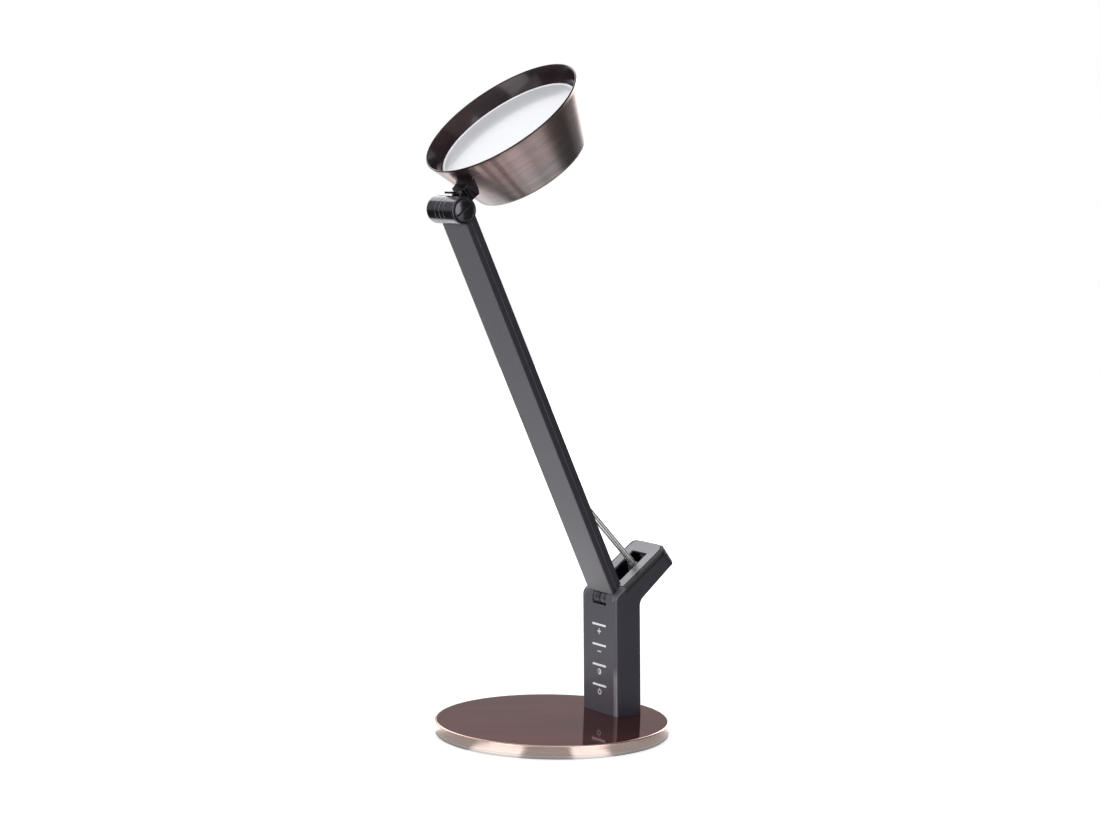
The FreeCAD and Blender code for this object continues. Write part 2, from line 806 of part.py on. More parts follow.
def make_hinge_frame():
    parts = []
    for x0 in (-hinge_frame_x - hinge_frame_t, hinge_frame_x):
        x1 = x0 + hinge_frame_t
        eye = rod_x(hinge_ear_r, x0, x1, 0, 0)
        leg = box(x0, x1, hinge_leg_front, hinge_leg_back, -hinge_leg_h, 0)
        cheek = prism_x([(-hinge_ear_r, 0, 0), (hinge_leg_back, 0, 2.0), (hinge_leg_back, -hinge_leg_h, 0),
                         (hinge_leg_front, -hinge_leg_h, 0), (hinge_leg_front, -hinge_ear_r * 2, 0)], x0, x1)
        parts.append(eye.fuse(leg.common(cheek)).fuse(cheek))
    web = box(-hinge_frame_x - hinge_frame_t, hinge_frame_x + hinge_frame_t,
              hinge_leg_back - hinge_frame_t, hinge_leg_back, -hinge_leg_h, -hinge_leg_h + hinge_web_h)
    frame = fuse_all(parts + [web])
    holes = [rod_x(hinge_pin_r + run_gap / 2, -far, far, 0, 0)]
    for z in frame_screw_rows:
        holes.append(rod_y(frame_screw_r + seat_gap, 0, far, 0, -z))
    return from_column(cut_all(frame, holes))


def make_frame_screws():
    screws = []
    front = hinge_leg_back - hinge_frame_t - frame_screw_head_t
    for z in frame_screw_rows:
        screws.append(from_column(screw_y(frame_screw_r, frame_screw_head_r, frame_screw_head_t,
                                          hinge_frame_t + rear_inner - hinge_leg_back, 0, -z, front,
                                          to_front=False)))
    return Part.makeCompound(screws)


def make_hinge_pin():
    reach = hinge_frame_x + hinge_frame_t
    shank = rod_x(hinge_pin_r, -reach - 1, reach, 0, 0)
    head = rod_x(hinge_pin_r + 1.2, reach, reach + 1.2, 0, 0)
    return from_column(fuse_all([shank, head]))


def make_hinge_washers():
    washers = []
    x0 = knuckle_w / 2 + run_gap
    x1 = hinge_frame_x - run_gap
    for a, b in ((-x1, -x0), (x0, x1)):
        ring = rod_x(hinge_ear_r, a, b, 0, 0).cut(rod_x(hinge_pin_r + run_gap, a - 1, b + 1, 0, 0))
        washers.append(from_column(ring))
    return Part.makeCompound(washers)


def make_hinge_knuckle():
    half = knuckle_w / 2
    barrel = rod_x(knuckle_r, -half, half, 0, 0)
    groove = rod_x(knuckle_r + 1, -knuckle_groove_w / 2, knuckle_groove_w / 2, 0, 0)
    groove = groove.cut(rod_x(knuckle_r - knuckle_groove_deep, -half, half, 0, 0))
    barrel = barrel.cut(groove)
    inner_v = -arm_front + arm_wall + seat_gap
    plug_half = arm_half - arm_wall - seat_gap
    tongue = box(-half, half, inner_v, tongue_v, 0, plug_from + 2)
    plug = box(-plug_half, plug_half, inner_v, arm_rear - arm_wall - seat_gap,
               plug_from, plug_from + plug_len)
    knuckle = fuse_all([barrel, tongue, plug])
    holes = [rod_x(hinge_pin_r + run_gap, -far, far, 0, 0)]
    for x in (-arm_screw_x, arm_screw_x):
        holes.append(rod_y(arm_screw_r + run_gap, inner_v + 1, far, x, plug_from + arm_screw_in))
    return from_arm(cut_all(knuckle, holes))


# Travel of the stay's slider pin in the arm

guide_shift_u = slider_u - foot_u
guide_shift_v = slider_v - foot_v
stay_to_arm = math.radians(stay_turn - arm_lean)


def slider_place(tilt):
    """Slider pin in the arm frame (v, u) at an arm tilt in degrees."""
    angle = foot_arm_angle + math.radians(tilt)
    return (guide_shift_v + foot_arm_r * math.sin(angle), guide_shift_u + foot_arm_r * math.cos(angle))


def stay_edge(tilt, level, side):
    """Where the stay's lower (-1) or upper (1) edge crosses a level behind the arm's axis."""
    v, u = slider_place(tilt)
    return u - (level - v) / math.tan(stay_to_arm) + side * bar_foot_deep / 2 / math.sin(stay_to_arm)


arm_slot_from = stay_edge(arm_forward_tilt, arm_rear, -1) - arm_slot_spare
arm_slot_to = stay_edge(-arm_back_tilt, arm_rear - arm_wall, 1) + arm_slot_spare


# Arm shells

def arm_tube():
    """Whole hollow arm before it is split along its seam, in the arm frame."""
    outer = box(-arm_half, arm_half, -arm_front, arm_rear, 0, arm_len)
    long_edges = [e for e in outer.Edges if abs(e.BoundBox.ZLength - arm_len) < 1e-6]
    outer = outer.makeFillet(arm_edge_r, long_edges)
    inner = box(-arm_half + arm_wall, arm_half - arm_wall, -arm_front + arm_wall, arm_rear - arm_wall,
                -1, arm_len + 1)
    clear_r = cheek_r + move_gap
    back = math.radians(incline_angle - arm_lean + arm_back_tilt)
    heel = clear_r / math.cos(back)
    low = prism_x([(-far, heel - far * math.tan(back), 0), (far, heel + far * math.tan(back), 0),
                   (far, -far, 0), (-far, -far, 0)], -far, far)
    low = low.common(box(-far, far, -clear_r * math.sin(back), far, -far, far))
    over_trim = box(-far, far, trim_from - move_gap, far, 0, clear_r + trim_proud)
    over_trim = turned(over_trim, math.degrees(back), 0, 0)
    cutters = [inner, rod_x(clear_r, -far, far, 0, 0), low, over_trim, box(-far, far, -far, far, -far, 0),
               rod_x(barrel_r + move_gap, -far, far, barrel_v, arm_len)]
    return cut_all(outer, cutters)


def make_arm_front(tube):
    return from_arm(tube.common(box(-far, far, -far, arm_mid, -far, 2 * arm_len)))


def make_arm_rear(tube):
    rear = tube.common(box(-far, far, arm_mid, far, -far, 2 * arm_len))
    cutters = [prism_y([(-arm_slot_w / 2, arm_slot_from, 1.0), (arm_slot_w / 2, arm_slot_from, 1.0),
                        (arm_slot_w / 2, arm_slot_to, 1.0), (-arm_slot_w / 2, arm_slot_to, 1.0)],
                       arm_mid, far)]
    for x, z in arm_screw_places():
        cutters.append(rod_y(arm_screw_r + seat_gap, arm_mid, far, x, z))
        cutters.append(rod_y(arm_screw_head_r + seat_gap, arm_rear - arm_screw_head_t, far, x, z))
    return from_arm(cut_all(rear, cutters))


def arm_screw_places():
    places = []
    for x in (-arm_screw_x, arm_screw_x):
        for z in (plug_from + arm_screw_in, arm_len - yoke_plug_len + arm_screw_in):
            places.append((x, z))
    return places


def make_arm_screws():
    length = arm_t - arm_wall - seat_gap - 1 - arm_screw_head_t
    return Part.makeCompound([
        from_arm(screw_y(arm_screw_r, arm_screw_head_r, arm_screw_head_t, length, x, z, arm_rear))
        for x, z in arm_screw_places()])


# Stay: its slider pin runs in a curved guide inside the arm

def curved_slot(half_width, tilt_from, tilt_to, x0, x1):
    """Arc-shaped slot that the slider pin follows, in the arm frame."""
    a0 = foot_arm_angle + math.radians(tilt_from)
    a1 = foot_arm_angle + math.radians(tilt_to)
    mid = (a0 + a1) / 2

    def at(angle, radius):
        return vec(x0, guide_shift_v + radius * math.sin(angle), guide_shift_u + radius * math.cos(angle))

    outer = foot_arm_r + half_width
    inner = foot_arm_r - half_width
    edges = [
        Part.Arc(at(a0, outer), at(mid, outer), at(a1, outer)).toShape(),
        Part.LineSegment(at(a1, outer), at(a1, inner)).toShape(),
        Part.Arc(at(a1, inner), at(mid, inner), at(a0, inner)).toShape(),
        Part.LineSegment(at(a0, inner), at(a0, outer)).toShape(),
    ]
    slot = Part.Face(Part.Wire(edges)).extrude(vec(x1 - x0, 0, 0))
    for tilt in (tilt_from, tilt_to):
        v, u = slider_place(tilt)
        slot = slot.fuse(rod_x(half_width, x0, x1, v, u))
    return slot


def make_stay_guide():
    first = slider_place(-arm_back_tilt - guide_slot_spare)
    last = slider_place(arm_forward_tilt + guide_slot_spare)
    low = last[1] - guide_margin
    high = first[1] + guide_margin
    front = -arm_front + arm_wall
    rear = arm_rear - arm_wall
    outer_x = guide_x + guide_t
    parts = []
    for x0 in (-outer_x, guide_x):
        plate = box(x0, x0 + guide_t, front, rear, low, high)
        slot = curved_slot(slider_pin_r + run_gap, -arm_back_tilt - guide_slot_spare,
                           arm_forward_tilt + guide_slot_spare, x0 - 1, x0 + guide_t + 1)
        parts.append(plate.cut(slot))
    for z in (low, high - guide_bridge):
        parts.append(box(-outer_x, outer_x, front, front + guide_web_t, z, z + guide_bridge))
    return from_arm(fuse_all(parts))


def make_stay_bar(side):
    """One flat bar of the stay; side is -1 on the left and 1 on the right."""
    foot_x = side * bar_foot_x
    slider_x = side * bar_slider_x
    half = bar_thick / 2
    foot_eye = rod_x(bar_foot_eye_r, foot_x - half, foot_x + half, 0, 0)
    slider_eye = rod_x(bar_slider_eye_r, slider_x - half, slider_x + half, 0, stay_len)
    plan = prism_y([(foot_x - half, 0, 0), (foot_x + half, 0, 0),
                    (slider_x + half, stay_len, 0), (slider_x - half, stay_len, 0)],
                   -bar_foot_deep, bar_foot_deep)
    side_view = prism_x([(-bar_foot_deep / 2, 0, 0), (bar_foot_deep / 2, 0, 0),
                         (bar_slider_deep / 2, stay_len, 0), (-bar_slider_deep / 2, stay_len, 0)], -far, far)
    bar = fuse_all([foot_eye, slider_eye, plan.common(side_view)])
    holes = [rod_x(foot_pin_r + run_gap, -far, far, 0, 0),
             rod_x(slider_pin_r + run_gap / 2, -far, far, 0, stay_len)]
    return from_stay(cut_all(bar, holes))


def make_stay_spacer():
    reach = bar_foot_x - bar_thick / 2
    sleeve = rod_x(bar_foot_eye_r - 0.3, -reach, reach, 0, 0)
    return from_stay(sleeve.cut(rod_x(foot_pin_r + run_gap, -far, far, 0, 0)))


def make_slider_pin():
    reach = guide_x + guide_t + run_gap * 2
    shank = rod_x(slider_pin_r, -reach, reach, 0, stay_len)
    heads = [rod_x(slider_head_r, -reach - slider_head_t, -reach, 0, stay_len),
             rod_x(slider_head_r, reach, reach + slider_head_t, 0, stay_len)]
    return from_stay(fuse_all([shank] + heads))


def make_stay_bracket():
    parts = []
    for x0 in (-bracket_x - bracket_t, bracket_x):
        x1 = x0 + bracket_t
        eye = rod_x(bracket_ear_r, x0, x1, foot_s, foot_d)
        ear = prism_x([(foot_s - bracket_ear_r, foot_d, 0), (foot_s + bracket_ear_r, foot_d, 0),
                       (foot_s + bracket_half_len - bracket_ear_in, -bracket_floor_d, 0),
                       (foot_s - bracket_half_len + bracket_ear_in, -bracket_floor_d, 0)], x0, x1)
        parts.append(eye.fuse(ear))
    parts.append(box(-bracket_x - bracket_t, bracket_x + bracket_t, foot_s - bracket_half_len,
                     foot_s + bracket_half_len, -bracket_floor_d, -bracket_floor_d + bracket_floor_t))
    bracket = fuse_all(parts)
    holes = [rod_x(foot_pin_r + run_gap / 2, -far, far, foot_s, foot_d)]
    for s in (-bracket_screw_s, bracket_screw_s):
        holes.append(rod_z(bracket_screw_r + seat_gap, -far, 0, 0, foot_s + s))
    return from_slope(cut_all(bracket, holes))


def make_bracket_screws():
    top = -bracket_floor_d + bracket_floor_t + bracket_screw_head_t
    return Part.makeCompound([
        from_slope(screw_z(bracket_screw_r, bracket_screw_head_r, bracket_screw_head_t,
                           bracket_floor_t + bracket_screw_deep, 0, foot_s + s, top, up=False))
        for s in (-bracket_screw_s, bracket_screw_s)])


def make_foot_pin():
    reach = bracket_x + bracket_t
    shank = rod_x(foot_pin_r, -reach, reach, foot_s, foot_d)
    head = rod_x(foot_pin_r + 0.7, reach, reach + 0.8, foot_s, foot_d)
    return from_slope(fuse_all([shank, head]))


# Barrel joint

def ring_groove(x):
    """Turned groove round the barrel, centred on x, in the barrel's own frame."""
    ring = rod_x(barrel_r + 1, x - ring_groove_w / 2, x + ring_groove_w / 2, 0, 0)
    return ring.cut(rod_x(barrel_r - ring_groove_deep, x - 1, x + 1, 0, 0))


def to_barrel(shape):
    """Moves a shape from the barrel's frame to its place in the arm frame."""
    shape = shape.copy()
    shape.translate(vec(0, barrel_v, arm_len))
    return shape


def make_joint_yoke():
    left = rod_x(barrel_r, barrel_left, barrel_left + cheek_w, 0, 0)
    right = rod_x(barrel_r, right_cheek, cap_left, 0, 0)
    end_edges = [e for e in left.Edges if e.Closed and abs(e.BoundBox.XMin - barrel_left) < 1e-6]
    left = left.makeFillet(0.8, end_edges)
    plug_half = arm_half - arm_wall - seat_gap
    front = -arm_front + arm_wall + seat_gap - barrel_v
    rear = arm_rear - arm_wall - seat_gap - barrel_v
    plug = box(-plug_half, plug_half, front, rear, -yoke_plug_len, 0)
    clear = rod_x(barrel_r + move_gap, barrel_left + cheek_w, right_cheek, 0, 0)
    ends = box(cap_left, far, -far, far, -barrel_r - 2, far)
    yoke = fuse_all([left, right, plug.cut(clear).cut(ends)])
    cutters = [
        rod_x(bolt_r + run_gap, -far, far, 0, 0),
        rod_x(nut_r + seat_gap, barrel_left + 2.0, barrel_left + 2.0 + nut_t + 1, 0, 0),
        rod_x(bolt_head_r + seat_gap, cap_left - bolt_head_t - seat_gap, cap_left, 0, 0),
        clear,
    ]
    for x in (-arm_screw_x, arm_screw_x):
        cutters.append(rod_y(arm_screw_r + run_gap, front + 1, far, x, -yoke_plug_len + arm_screw_in))
    return from_arm(to_barrel(cut_all(yoke, cutters)))


def make_joint_bolt():
    head_left = cap_left - bolt_head_t
    shank = rod_x(bolt_r, barrel_left + 2.2, head_left, 0, 0)
    head = rod_x(bolt_head_r, head_left, cap_left, 0, 0)
    return from_arm(to_barrel(fuse_all([shank, head])))


def make_joint_nut():
    corners = [(nut_r * math.cos(math.radians(a)), nut_r * math.sin(math.radians(a)), 0)
               for a in range(0, 360, 60)]
    x0 = barrel_left + 2.0 + seat_gap
    nut = prism_x(corners, x0, x0 + nut_t)
    return from_arm(to_barrel(nut.cut(rod_x(bolt_r + run_gap, -far, far, 0, 0))))


def make_joint_cap():
    cap = rod_x(barrel_r, cap_left, cap_left + cap_t, 0, 0)
    end_edges = [e for e in cap.Edges if e.Closed and abs(e.BoundBox.XMin - cap_left - cap_t) < 1e-6]
    cap = cap.makeFillet(0.6, end_edges)
    face = cap_left + cap_t
    rim = rod_x(cap_inner_r + cap_rim_w / 2, face - cap_recess, face + 1, 0, 0)
    rim = rim.cut(rod_x(cap_inner_r - cap_rim_w / 2, face - cap_recess - 1, face + 2, 0, 0))
    slot = box(face - coin_slot_deep, face + 1, -cap_inner_r + cap_rim_w, cap_inner_r - cap_rim_w,
               -coin_slot_w / 2, coin_slot_w / 2)
    slot.rotate(vec(0, 0, 0), vec(1, 0, 0), coin_slot_turn)
    return from_arm(to_barrel(cap.cut(rim).cut(slot)))


def make_joint_rings():
    rings = []
    for x in (barrel_left + cheek_w, right_cheek - ring_plate_t):
        ring = rod_x(ring_plate_r, x, x + ring_plate_t, 0, 0)
        rings.append(from_arm(to_barrel(ring.cut(rod_x(bolt_r + run_gap, -far, far, 0, 0)))))
    return Part.makeCompound(rings)


# Neck, saddle and shade, all in the head frame: Y is away from the arm, Z is the head's axis

def shade_cone(grow, depth_from, depth_to):
    """Cone along the shade's wall, between two depths behind the rim, grown outwards."""
    r_top = shade_r - shade_slope * depth_from + grow
    r_low = shade_r - shade_slope * depth_to + grow
    return Part.makeCone(r_low, r_top, depth_to - depth_from, vec(0, shade_reach, shade_rise - depth_to))


def collar_point(degrees, radius):
    """Point at an angle above level, given in the room, in the head frame."""
    angle = math.radians(degrees - head_turn)
    return (radius * math.cos(angle), radius * math.sin(angle))


def make_head_neck():
    """Collar of the barrel with the neck up to the saddle, and the thin stop tab at its front."""
    collar = rod_x(barrel_r, collar_left, collar_right, 0, 0)
    collar = collar.cut(ring_groove((collar_left + collar_right) / 2))
    fore = collar_point(neck_root_fore, barrel_r - 1)
    aft = collar_point(neck_root_aft, barrel_r - 1)
    block = prism_x([(fore[0], fore[1], 0), (neck_face, neck_face_fore, 0), (neck_face, -neck_face_aft, 0),
                     (aft[0], aft[1], 0)], collar_left, collar_right)
    plate = prism_x([(neck_face - neck_plate_t, neck_face_fore - neck_plate_taper, 0),
                     (neck_face, neck_face_fore, 0),
                     (neck_face, -neck_face_aft, 0), (neck_face - neck_plate_t, -neck_face_aft, 0)],
                    -neck_w / 2, neck_w / 2)
    plate = plate.cut(rod_x(barrel_r + move_gap, -far, far, 0, 0))
    tab = box(collar_left, collar_left + stop_tab_w, -stop_tab_front, stop_tab_root,
              stop_tab_z, stop_tab_z + stop_tab_t)
    tab.rotate(vec(0, 0, 0), vec(1, 0, 0), -head_turn)
    neck = fuse_all([collar, block, plate, tab])
    holes = [rod_x(bolt_r + run_gap, -far, far, 0, 0)]
    for z in (saddle_screw_fore, -saddle_screw_aft):
        holes.append(rod_y(saddle_screw_r + run_gap, neck_face - saddle_screw_grip, far, 0, z))
    return from_head(cut_all(neck, holes))


def make_head_saddle():
    block = prism_x([(neck_face, neck_face_fore, 0), (neck_face + 2 * saddle_t, neck_face_fore, 0),
                     (neck_face + 2 * saddle_t, -neck_face_aft, 0), (neck_face, -neck_face_aft, 0)],
                    -neck_w / 2, neck_w / 2)
    saddle = block.cut(shade_cone(run_gap, 0, shade_h))
    holes = [rod_y(saddle_screw_r + seat_gap, 0, far, 0, z) for z in (saddle_screw_fore, -saddle_screw_aft)]
    return from_head(cut_all(saddle, holes))


def make_shade():
    outer = shade_cone(0, 0, shade_h)
    outer = outer.makeFillet(shade_back_edge_r, [e for e in outer.Edges if e.Closed
                                                 and abs(e.BoundBox.ZMax - shade_back_z) < 1e-6])
    inner = shade_cone(-wall_out, 0, shade_h - shade_wall)
    low = shade_back_z + shade_wall
    inner = inner.makeFillet(shade_back_edge_r - shade_wall, [e for e in inner.Edges if e.Closed
                                                             and abs(e.BoundBox.ZMax - low) < 1e-6])
    bead = Part.makeTorus(shade_r - shade_wall / 2, shade_bead_r, vec(0, shade_reach, shade_rise))
    shell = outer.cut(inner).fuse(bead).removeSplitter()
    holes = [rod_y(saddle_screw_r + seat_gap, 0, shade_reach / 2, 0, z)
             for z in (saddle_screw_fore, -saddle_screw_aft)]
    return from_head(cut_all(shell, holes))


def head_disc(radius, depth_from, depth_to):
    """Disc on the shade's axis, between two depths behind the rim's plane."""
    return rod_z(radius, shade_rise - depth_to, shade_rise - depth_from, 0, shade_reach)


def shade_inner_r(depth):
    """Radius inside the shade's wall at a depth behind the rim's plane."""
    return shade_r - shade_slope * depth - wall_out


diffuser_back = diffuser_depth + diffuser_t
diffuser_r = shade_inner_r(diffuser_back) - diffuser_gap
tray_flange_r = shade_inner_r(diffuser_back + tray_wall) - tray_flange_gap
board_depth = diffuser_depth + tray_depth
tray_floor_depth = board_depth + tray_wall
tray_r = shade_inner_r(tray_floor_depth) - tray_gap
led_board_r = tray_r - tray_wall - led_board_gap
heat_plate_r = tray_r - heat_plate_in
led_rings = ((led_ring_inner_r, led_ring_inner_count), (led_ring_outer_r, led_ring_outer_count))


def head_screw_places():
    return [(x, shade_reach + y) for x, y in ring_points(head_screw_circle_r, head_screw_count, 90.0)]


def make_diffuser():
    disc = head_disc(diffuser_r, diffuser_depth, diffuser_back)
    lip = head_disc(diffuser_r, diffuser_depth - diffuser_lip_h, diffuser_depth)
    lip = lip.cut(head_disc(diffuser_r - diffuser_lip_w, 0, diffuser_depth))
    return from_head(fuse_all([disc, lip]))


def make_lamp_tray():
    flange = head_disc(tray_flange_r, diffuser_back, diffuser_back + tray_wall)
    tub = head_disc(tray_r, diffuser_back, tray_floor_depth)
    room = head_disc(tray_r - tray_wall, diffuser_back - 1, board_depth)
    tray = fuse_all([flange, tub]).cut(room)
    holes = [rod_z(head_screw_r + seat_gap, -far, far, x, y) for x, y in head_screw_places()]
    return from_head(cut_all(tray, holes))


def make_led_board():
    board = head_disc(led_board_r, board_depth - led_board_t, board_depth)
    holes = [rod_z(head_screw_r + seat_gap, -far, far, x, y) for x, y in head_screw_places()]
    return from_head(cut_all(board, holes))


def make_led_chips():
    top = shade_rise - board_depth + led_board_t
    half = led_size / 2
    chips = []
    for radius, count in led_rings:
        for x, y in ring_points(radius, count):
            mid_y = shade_reach + y
            chips.append(box(x - half, x + half, mid_y - half, mid_y + half, top, top + led_t))
    return from_head(Part.makeCompound(chips))


def make_heat_plate():
    plate = head_disc(heat_plate_r, tray_floor_depth, tray_floor_depth + heat_plate_t)
    boss = head_disc(heat_boss_r, tray_floor_depth, shade_h - shade_wall)
    holes = [rod_z(head_screw_r + run_gap, -far, far, x, y) for x, y in head_screw_places()]
    return from_head(cut_all(fuse_all([plate, boss]), holes))


def make_head_screws():
    top = shade_rise - board_depth + led_board_t + head_screw_head_t
    length = led_board_t + tray_wall + heat_plate_t
    return Part.makeCompound([
        from_head(screw_z(head_screw_r, head_screw_head_r, head_screw_head_t, length, x, y, top, up=False))
        for x, y in head_screw_places()])


def make_saddle_screws():
    screws = []
    for z in (saddle_screw_fore, -saddle_screw_aft):
        depth = shade_rise - z
        inside = shade_reach - (shade_r - shade_slope * depth) + wall_out
        y_head = inside + saddle_screw_head_t + saddle_screw_head_r * shade_slope
        length = y_head - saddle_screw_head_t - neck_face + saddle_screw_grip
        screws.append(from_head(screw_y(saddle_screw_r, saddle_screw_head_r, saddle_screw_head_t,
                                        length, 0, z, y_head)))
    return Part.makeCompound(screws)


# Every piece, one file each

def build():
    shell = column_shell()
    tube = arm_tube()
    pieces = {
        "base_cover": make_base_cover(),
        "base_weight": make_base_weight(),
        "base_bottom_plate": make_base_plate(),
        "non_slip_sheet": make_non_slip_sheet(),
        "bottom_plate_screws": make_base_plate_screws(),
        "column_screws": make_column_screws(),
        "column_front_cover": make_column_cover(shell),
        "column_rear_shell": make_column_rear(shell),
        "slot_trim_plate": make_slot_trim(),
        "key_light_bars": make_indicator_bars(),
        "touch_board": make_touch_board(),
        "touch_pads": make_touch_pads(),
        "board_screws": make_board_screws(),
        "driver_board": make_driver_board(),
        "power_jack": make_power_jack(),
        "cover_screws": make_cover_screws(),
        "hinge_frame": make_hinge_frame(),
        "hinge_frame_screws": make_frame_screws(),
        "hinge_pin": make_hinge_pin(),
        "hinge_washers": make_hinge_washers(),
        "stay_bracket": make_stay_bracket(),
        "stay_bracket_screws": make_bracket_screws(),
        "stay_foot_pin": make_foot_pin(),
        "arm_knuckle": make_hinge_knuckle(),
        "arm_front_shell": make_arm_front(tube),
        "arm_rear_shell": make_arm_rear(tube),
        "arm_screws": make_arm_screws(),
        "stay_guide": make_stay_guide(),
        "stay_bar_left": make_stay_bar(-1),
        "stay_bar_right": make_stay_bar(1),
        "stay_spacer": make_stay_spacer(),
        "stay_slider_pin": make_slider_pin(),
        "joint_yoke": make_joint_yoke(),
        "joint_bolt": make_joint_bolt(),
        "joint_nut": make_joint_nut(),
        "joint_end_cap": make_joint_cap(),
        "joint_friction_rings": make_joint_rings(),
        "head_neck": make_head_neck(),
        "head_saddle": make_head_saddle(),
        "saddle_screws": make_saddle_screws(),
        "shade": make_shade(),
        "diffuser": make_diffuser(),
        "lamp_tray": make_lamp_tray(),
        "led_board": make_led_board(),
        "led_chips": make_led_chips(),
        "heat_plate": make_heat_plate(),
        "head_screws": make_head_screws(),
    }
    for name, shape in pieces.items():
        shape.exportStep("parts/" + name + ".step")
        print(name, "solids", len(shape.Solids), "volume", round(shape.Volume, 1), "valid", shape.isValid())


build()
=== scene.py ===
import bmesh
import bpy
import json
import math
from mathutils import Matrix, Vector

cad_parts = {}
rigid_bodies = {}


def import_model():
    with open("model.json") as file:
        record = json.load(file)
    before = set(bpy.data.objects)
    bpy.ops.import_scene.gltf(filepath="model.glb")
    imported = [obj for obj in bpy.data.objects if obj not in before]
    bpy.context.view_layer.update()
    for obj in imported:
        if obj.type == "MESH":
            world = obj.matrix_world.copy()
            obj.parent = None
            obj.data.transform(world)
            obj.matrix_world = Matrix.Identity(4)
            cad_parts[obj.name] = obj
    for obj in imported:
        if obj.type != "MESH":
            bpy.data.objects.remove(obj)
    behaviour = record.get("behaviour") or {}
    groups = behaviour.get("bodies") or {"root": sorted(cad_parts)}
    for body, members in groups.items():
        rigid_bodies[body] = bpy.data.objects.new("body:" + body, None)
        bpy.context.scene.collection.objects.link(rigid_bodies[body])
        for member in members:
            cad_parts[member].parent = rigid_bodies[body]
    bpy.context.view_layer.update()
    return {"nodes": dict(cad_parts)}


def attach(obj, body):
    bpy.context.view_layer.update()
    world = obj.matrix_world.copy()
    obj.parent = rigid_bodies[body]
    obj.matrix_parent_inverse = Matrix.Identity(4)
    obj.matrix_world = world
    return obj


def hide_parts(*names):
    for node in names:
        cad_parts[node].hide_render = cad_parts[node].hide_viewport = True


for leftover in list(bpy.data.objects):
    bpy.data.objects.remove(leftover)

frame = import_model()
nodes = frame["nodes"]
print("frame loaded:", len(nodes), "nodes")

mm = 0.001
sameSpot = 1e-7      # points nearer than this, in metres, are one point
sameRing = 1e-8      # an outline's step shorter than this makes no faces


def tiltedPlace(degrees, y, z):
    return Matrix.Translation((0, y * mm, z * mm)) @ Matrix.Rotation(math.radians(degrees), 4, "X")


def addObject(name, data):
    obj = bpy.data.objects.new(name, data)
    bpy.context.scene.collection.objects.link(obj)
    return obj


def addMaterials(obj, *materials):
    for mat in materials:
        obj.data.materials.append(mat)


columnPlace = tiltedPlace(1.67, 49.4, 100.9)      # Z up the leaning column, origin on the hinge axis
armPlace = tiltedPlace(25.84, 49.4, 100.9)        # Z along the arm
barrelPlace = tiltedPlace(25.84, -96.633, 400.84) # X along the barrel joint's axis
headPlace = tiltedPlace(38.73, -96.633, 400.84)   # Z along the shade's axis, origin in the barrel joint


# Node trees: each call adds a node and fills its sockets with values or with other nodes' outputs

def setSocket(tree, socket, value):
    if isinstance(value, bpy.types.NodeSocket):
        tree.links.new(value, socket)
    else:
        socket.default_value = value


def feed(tree, node, **inputs):
    for label, value in inputs.items():
        setSocket(tree, node.inputs[label.replace("_", " ")], value)


def addNode(tree, kind, **inputs):
    node = tree.nodes.new(kind)
    feed(tree, node, **inputs)
    return node


def newMaterial(name):
    mat = bpy.data.materials.new(name)
    mat.use_nodes = True
    tree = mat.node_tree
    tree.nodes.clear()
    shader = tree.nodes.new("ShaderNodeBsdfPrincipled")
    addNode(tree, "ShaderNodeOutputMaterial", Surface=shader.outputs["BSDF"])
    return mat, tree, shader


def objectPoints(tree, scale, place=None):
    source = tree.nodes.new("ShaderNodeTexCoord").outputs["Object"]
    if place is not None:
        back = place.inverted()
        source = addNode(tree, "ShaderNodeMapping", Vector=source, Rotation=back.to_euler(),
                         Location=back.to_translation()).outputs["Vector"]
    return addNode(tree, "ShaderNodeMapping", Vector=source, Scale=scale).outputs["Vector"]


def noiseOf(tree, points, scale=1.0, detail=4.0, roughness=0.6, distortion=0.0):
    return addNode(tree, "ShaderNodeTexNoise", Vector=points, Scale=scale, Detail=detail,
                   Roughness=roughness, Distortion=distortion).outputs["Fac"]


def rampOf(tree, value, stops):
    ramp = addNode(tree, "ShaderNodeValToRGB", Fac=value)
    band = ramp.color_ramp
    while len(band.elements) < len(stops):
        band.elements.new(0.5)
    for element, (at, colour) in zip(band.elements, stops):
        element.position = at
        element.color = (*colour, 1.0)
    return ramp.outputs["Color"]


def tonesOf(tree, value, colours, low=0.3, high=0.7):
    return rampOf(tree, value, [(low, colours[0]), (high, colours[1])])


def rangeOf(tree, value, low, high, fromLow=0.3, fromHigh=0.7):
    return addNode(tree, "ShaderNodeMapRange", Value=value, From_Min=fromLow, From_Max=fromHigh,
                   To_Min=low, To_Max=high).outputs["Result"]


def bumpOf(tree, height, depth, under=None):
    bump = addNode(tree, "ShaderNodeBump", Strength=1.0, Distance=depth, Height=height)
    if under is not None:
        feed(tree, bump, Normal=under)
    return bump.outputs["Normal"]


def softEdge(tree, radius):
    bevel = addNode(tree, "ShaderNodeBevel", Radius=radius)
    bevel.samples = 6
    return bevel.outputs["Normal"]


def mathOf(tree, kind, *values):
    step = tree.nodes.new("ShaderNodeMath")
    step.operation = kind
    for socket, value in zip(step.inputs, values):
        setSocket(tree, socket, value)
    return step.outputs["Value"]


def productOf(tree, first, *others):
    for other in others:
        first = mathOf(tree, "MULTIPLY", first, other)
    return first


def mixed(tree, amount, first, second, blend="MIX"):
    mix = addNode(tree, "ShaderNodeMix", Factor=amount)
    mix.data_type = "RGBA"
    mix.blend_type = blend
    setSocket(tree, mix.inputs[6], first)
    setSocket(tree, mix.inputs[7], second)
    return mix.outputs[2]


def axisOf(tree, points, axis):
    return addNode(tree, "ShaderNodeSeparateXYZ", Vector=points).outputs[axis]


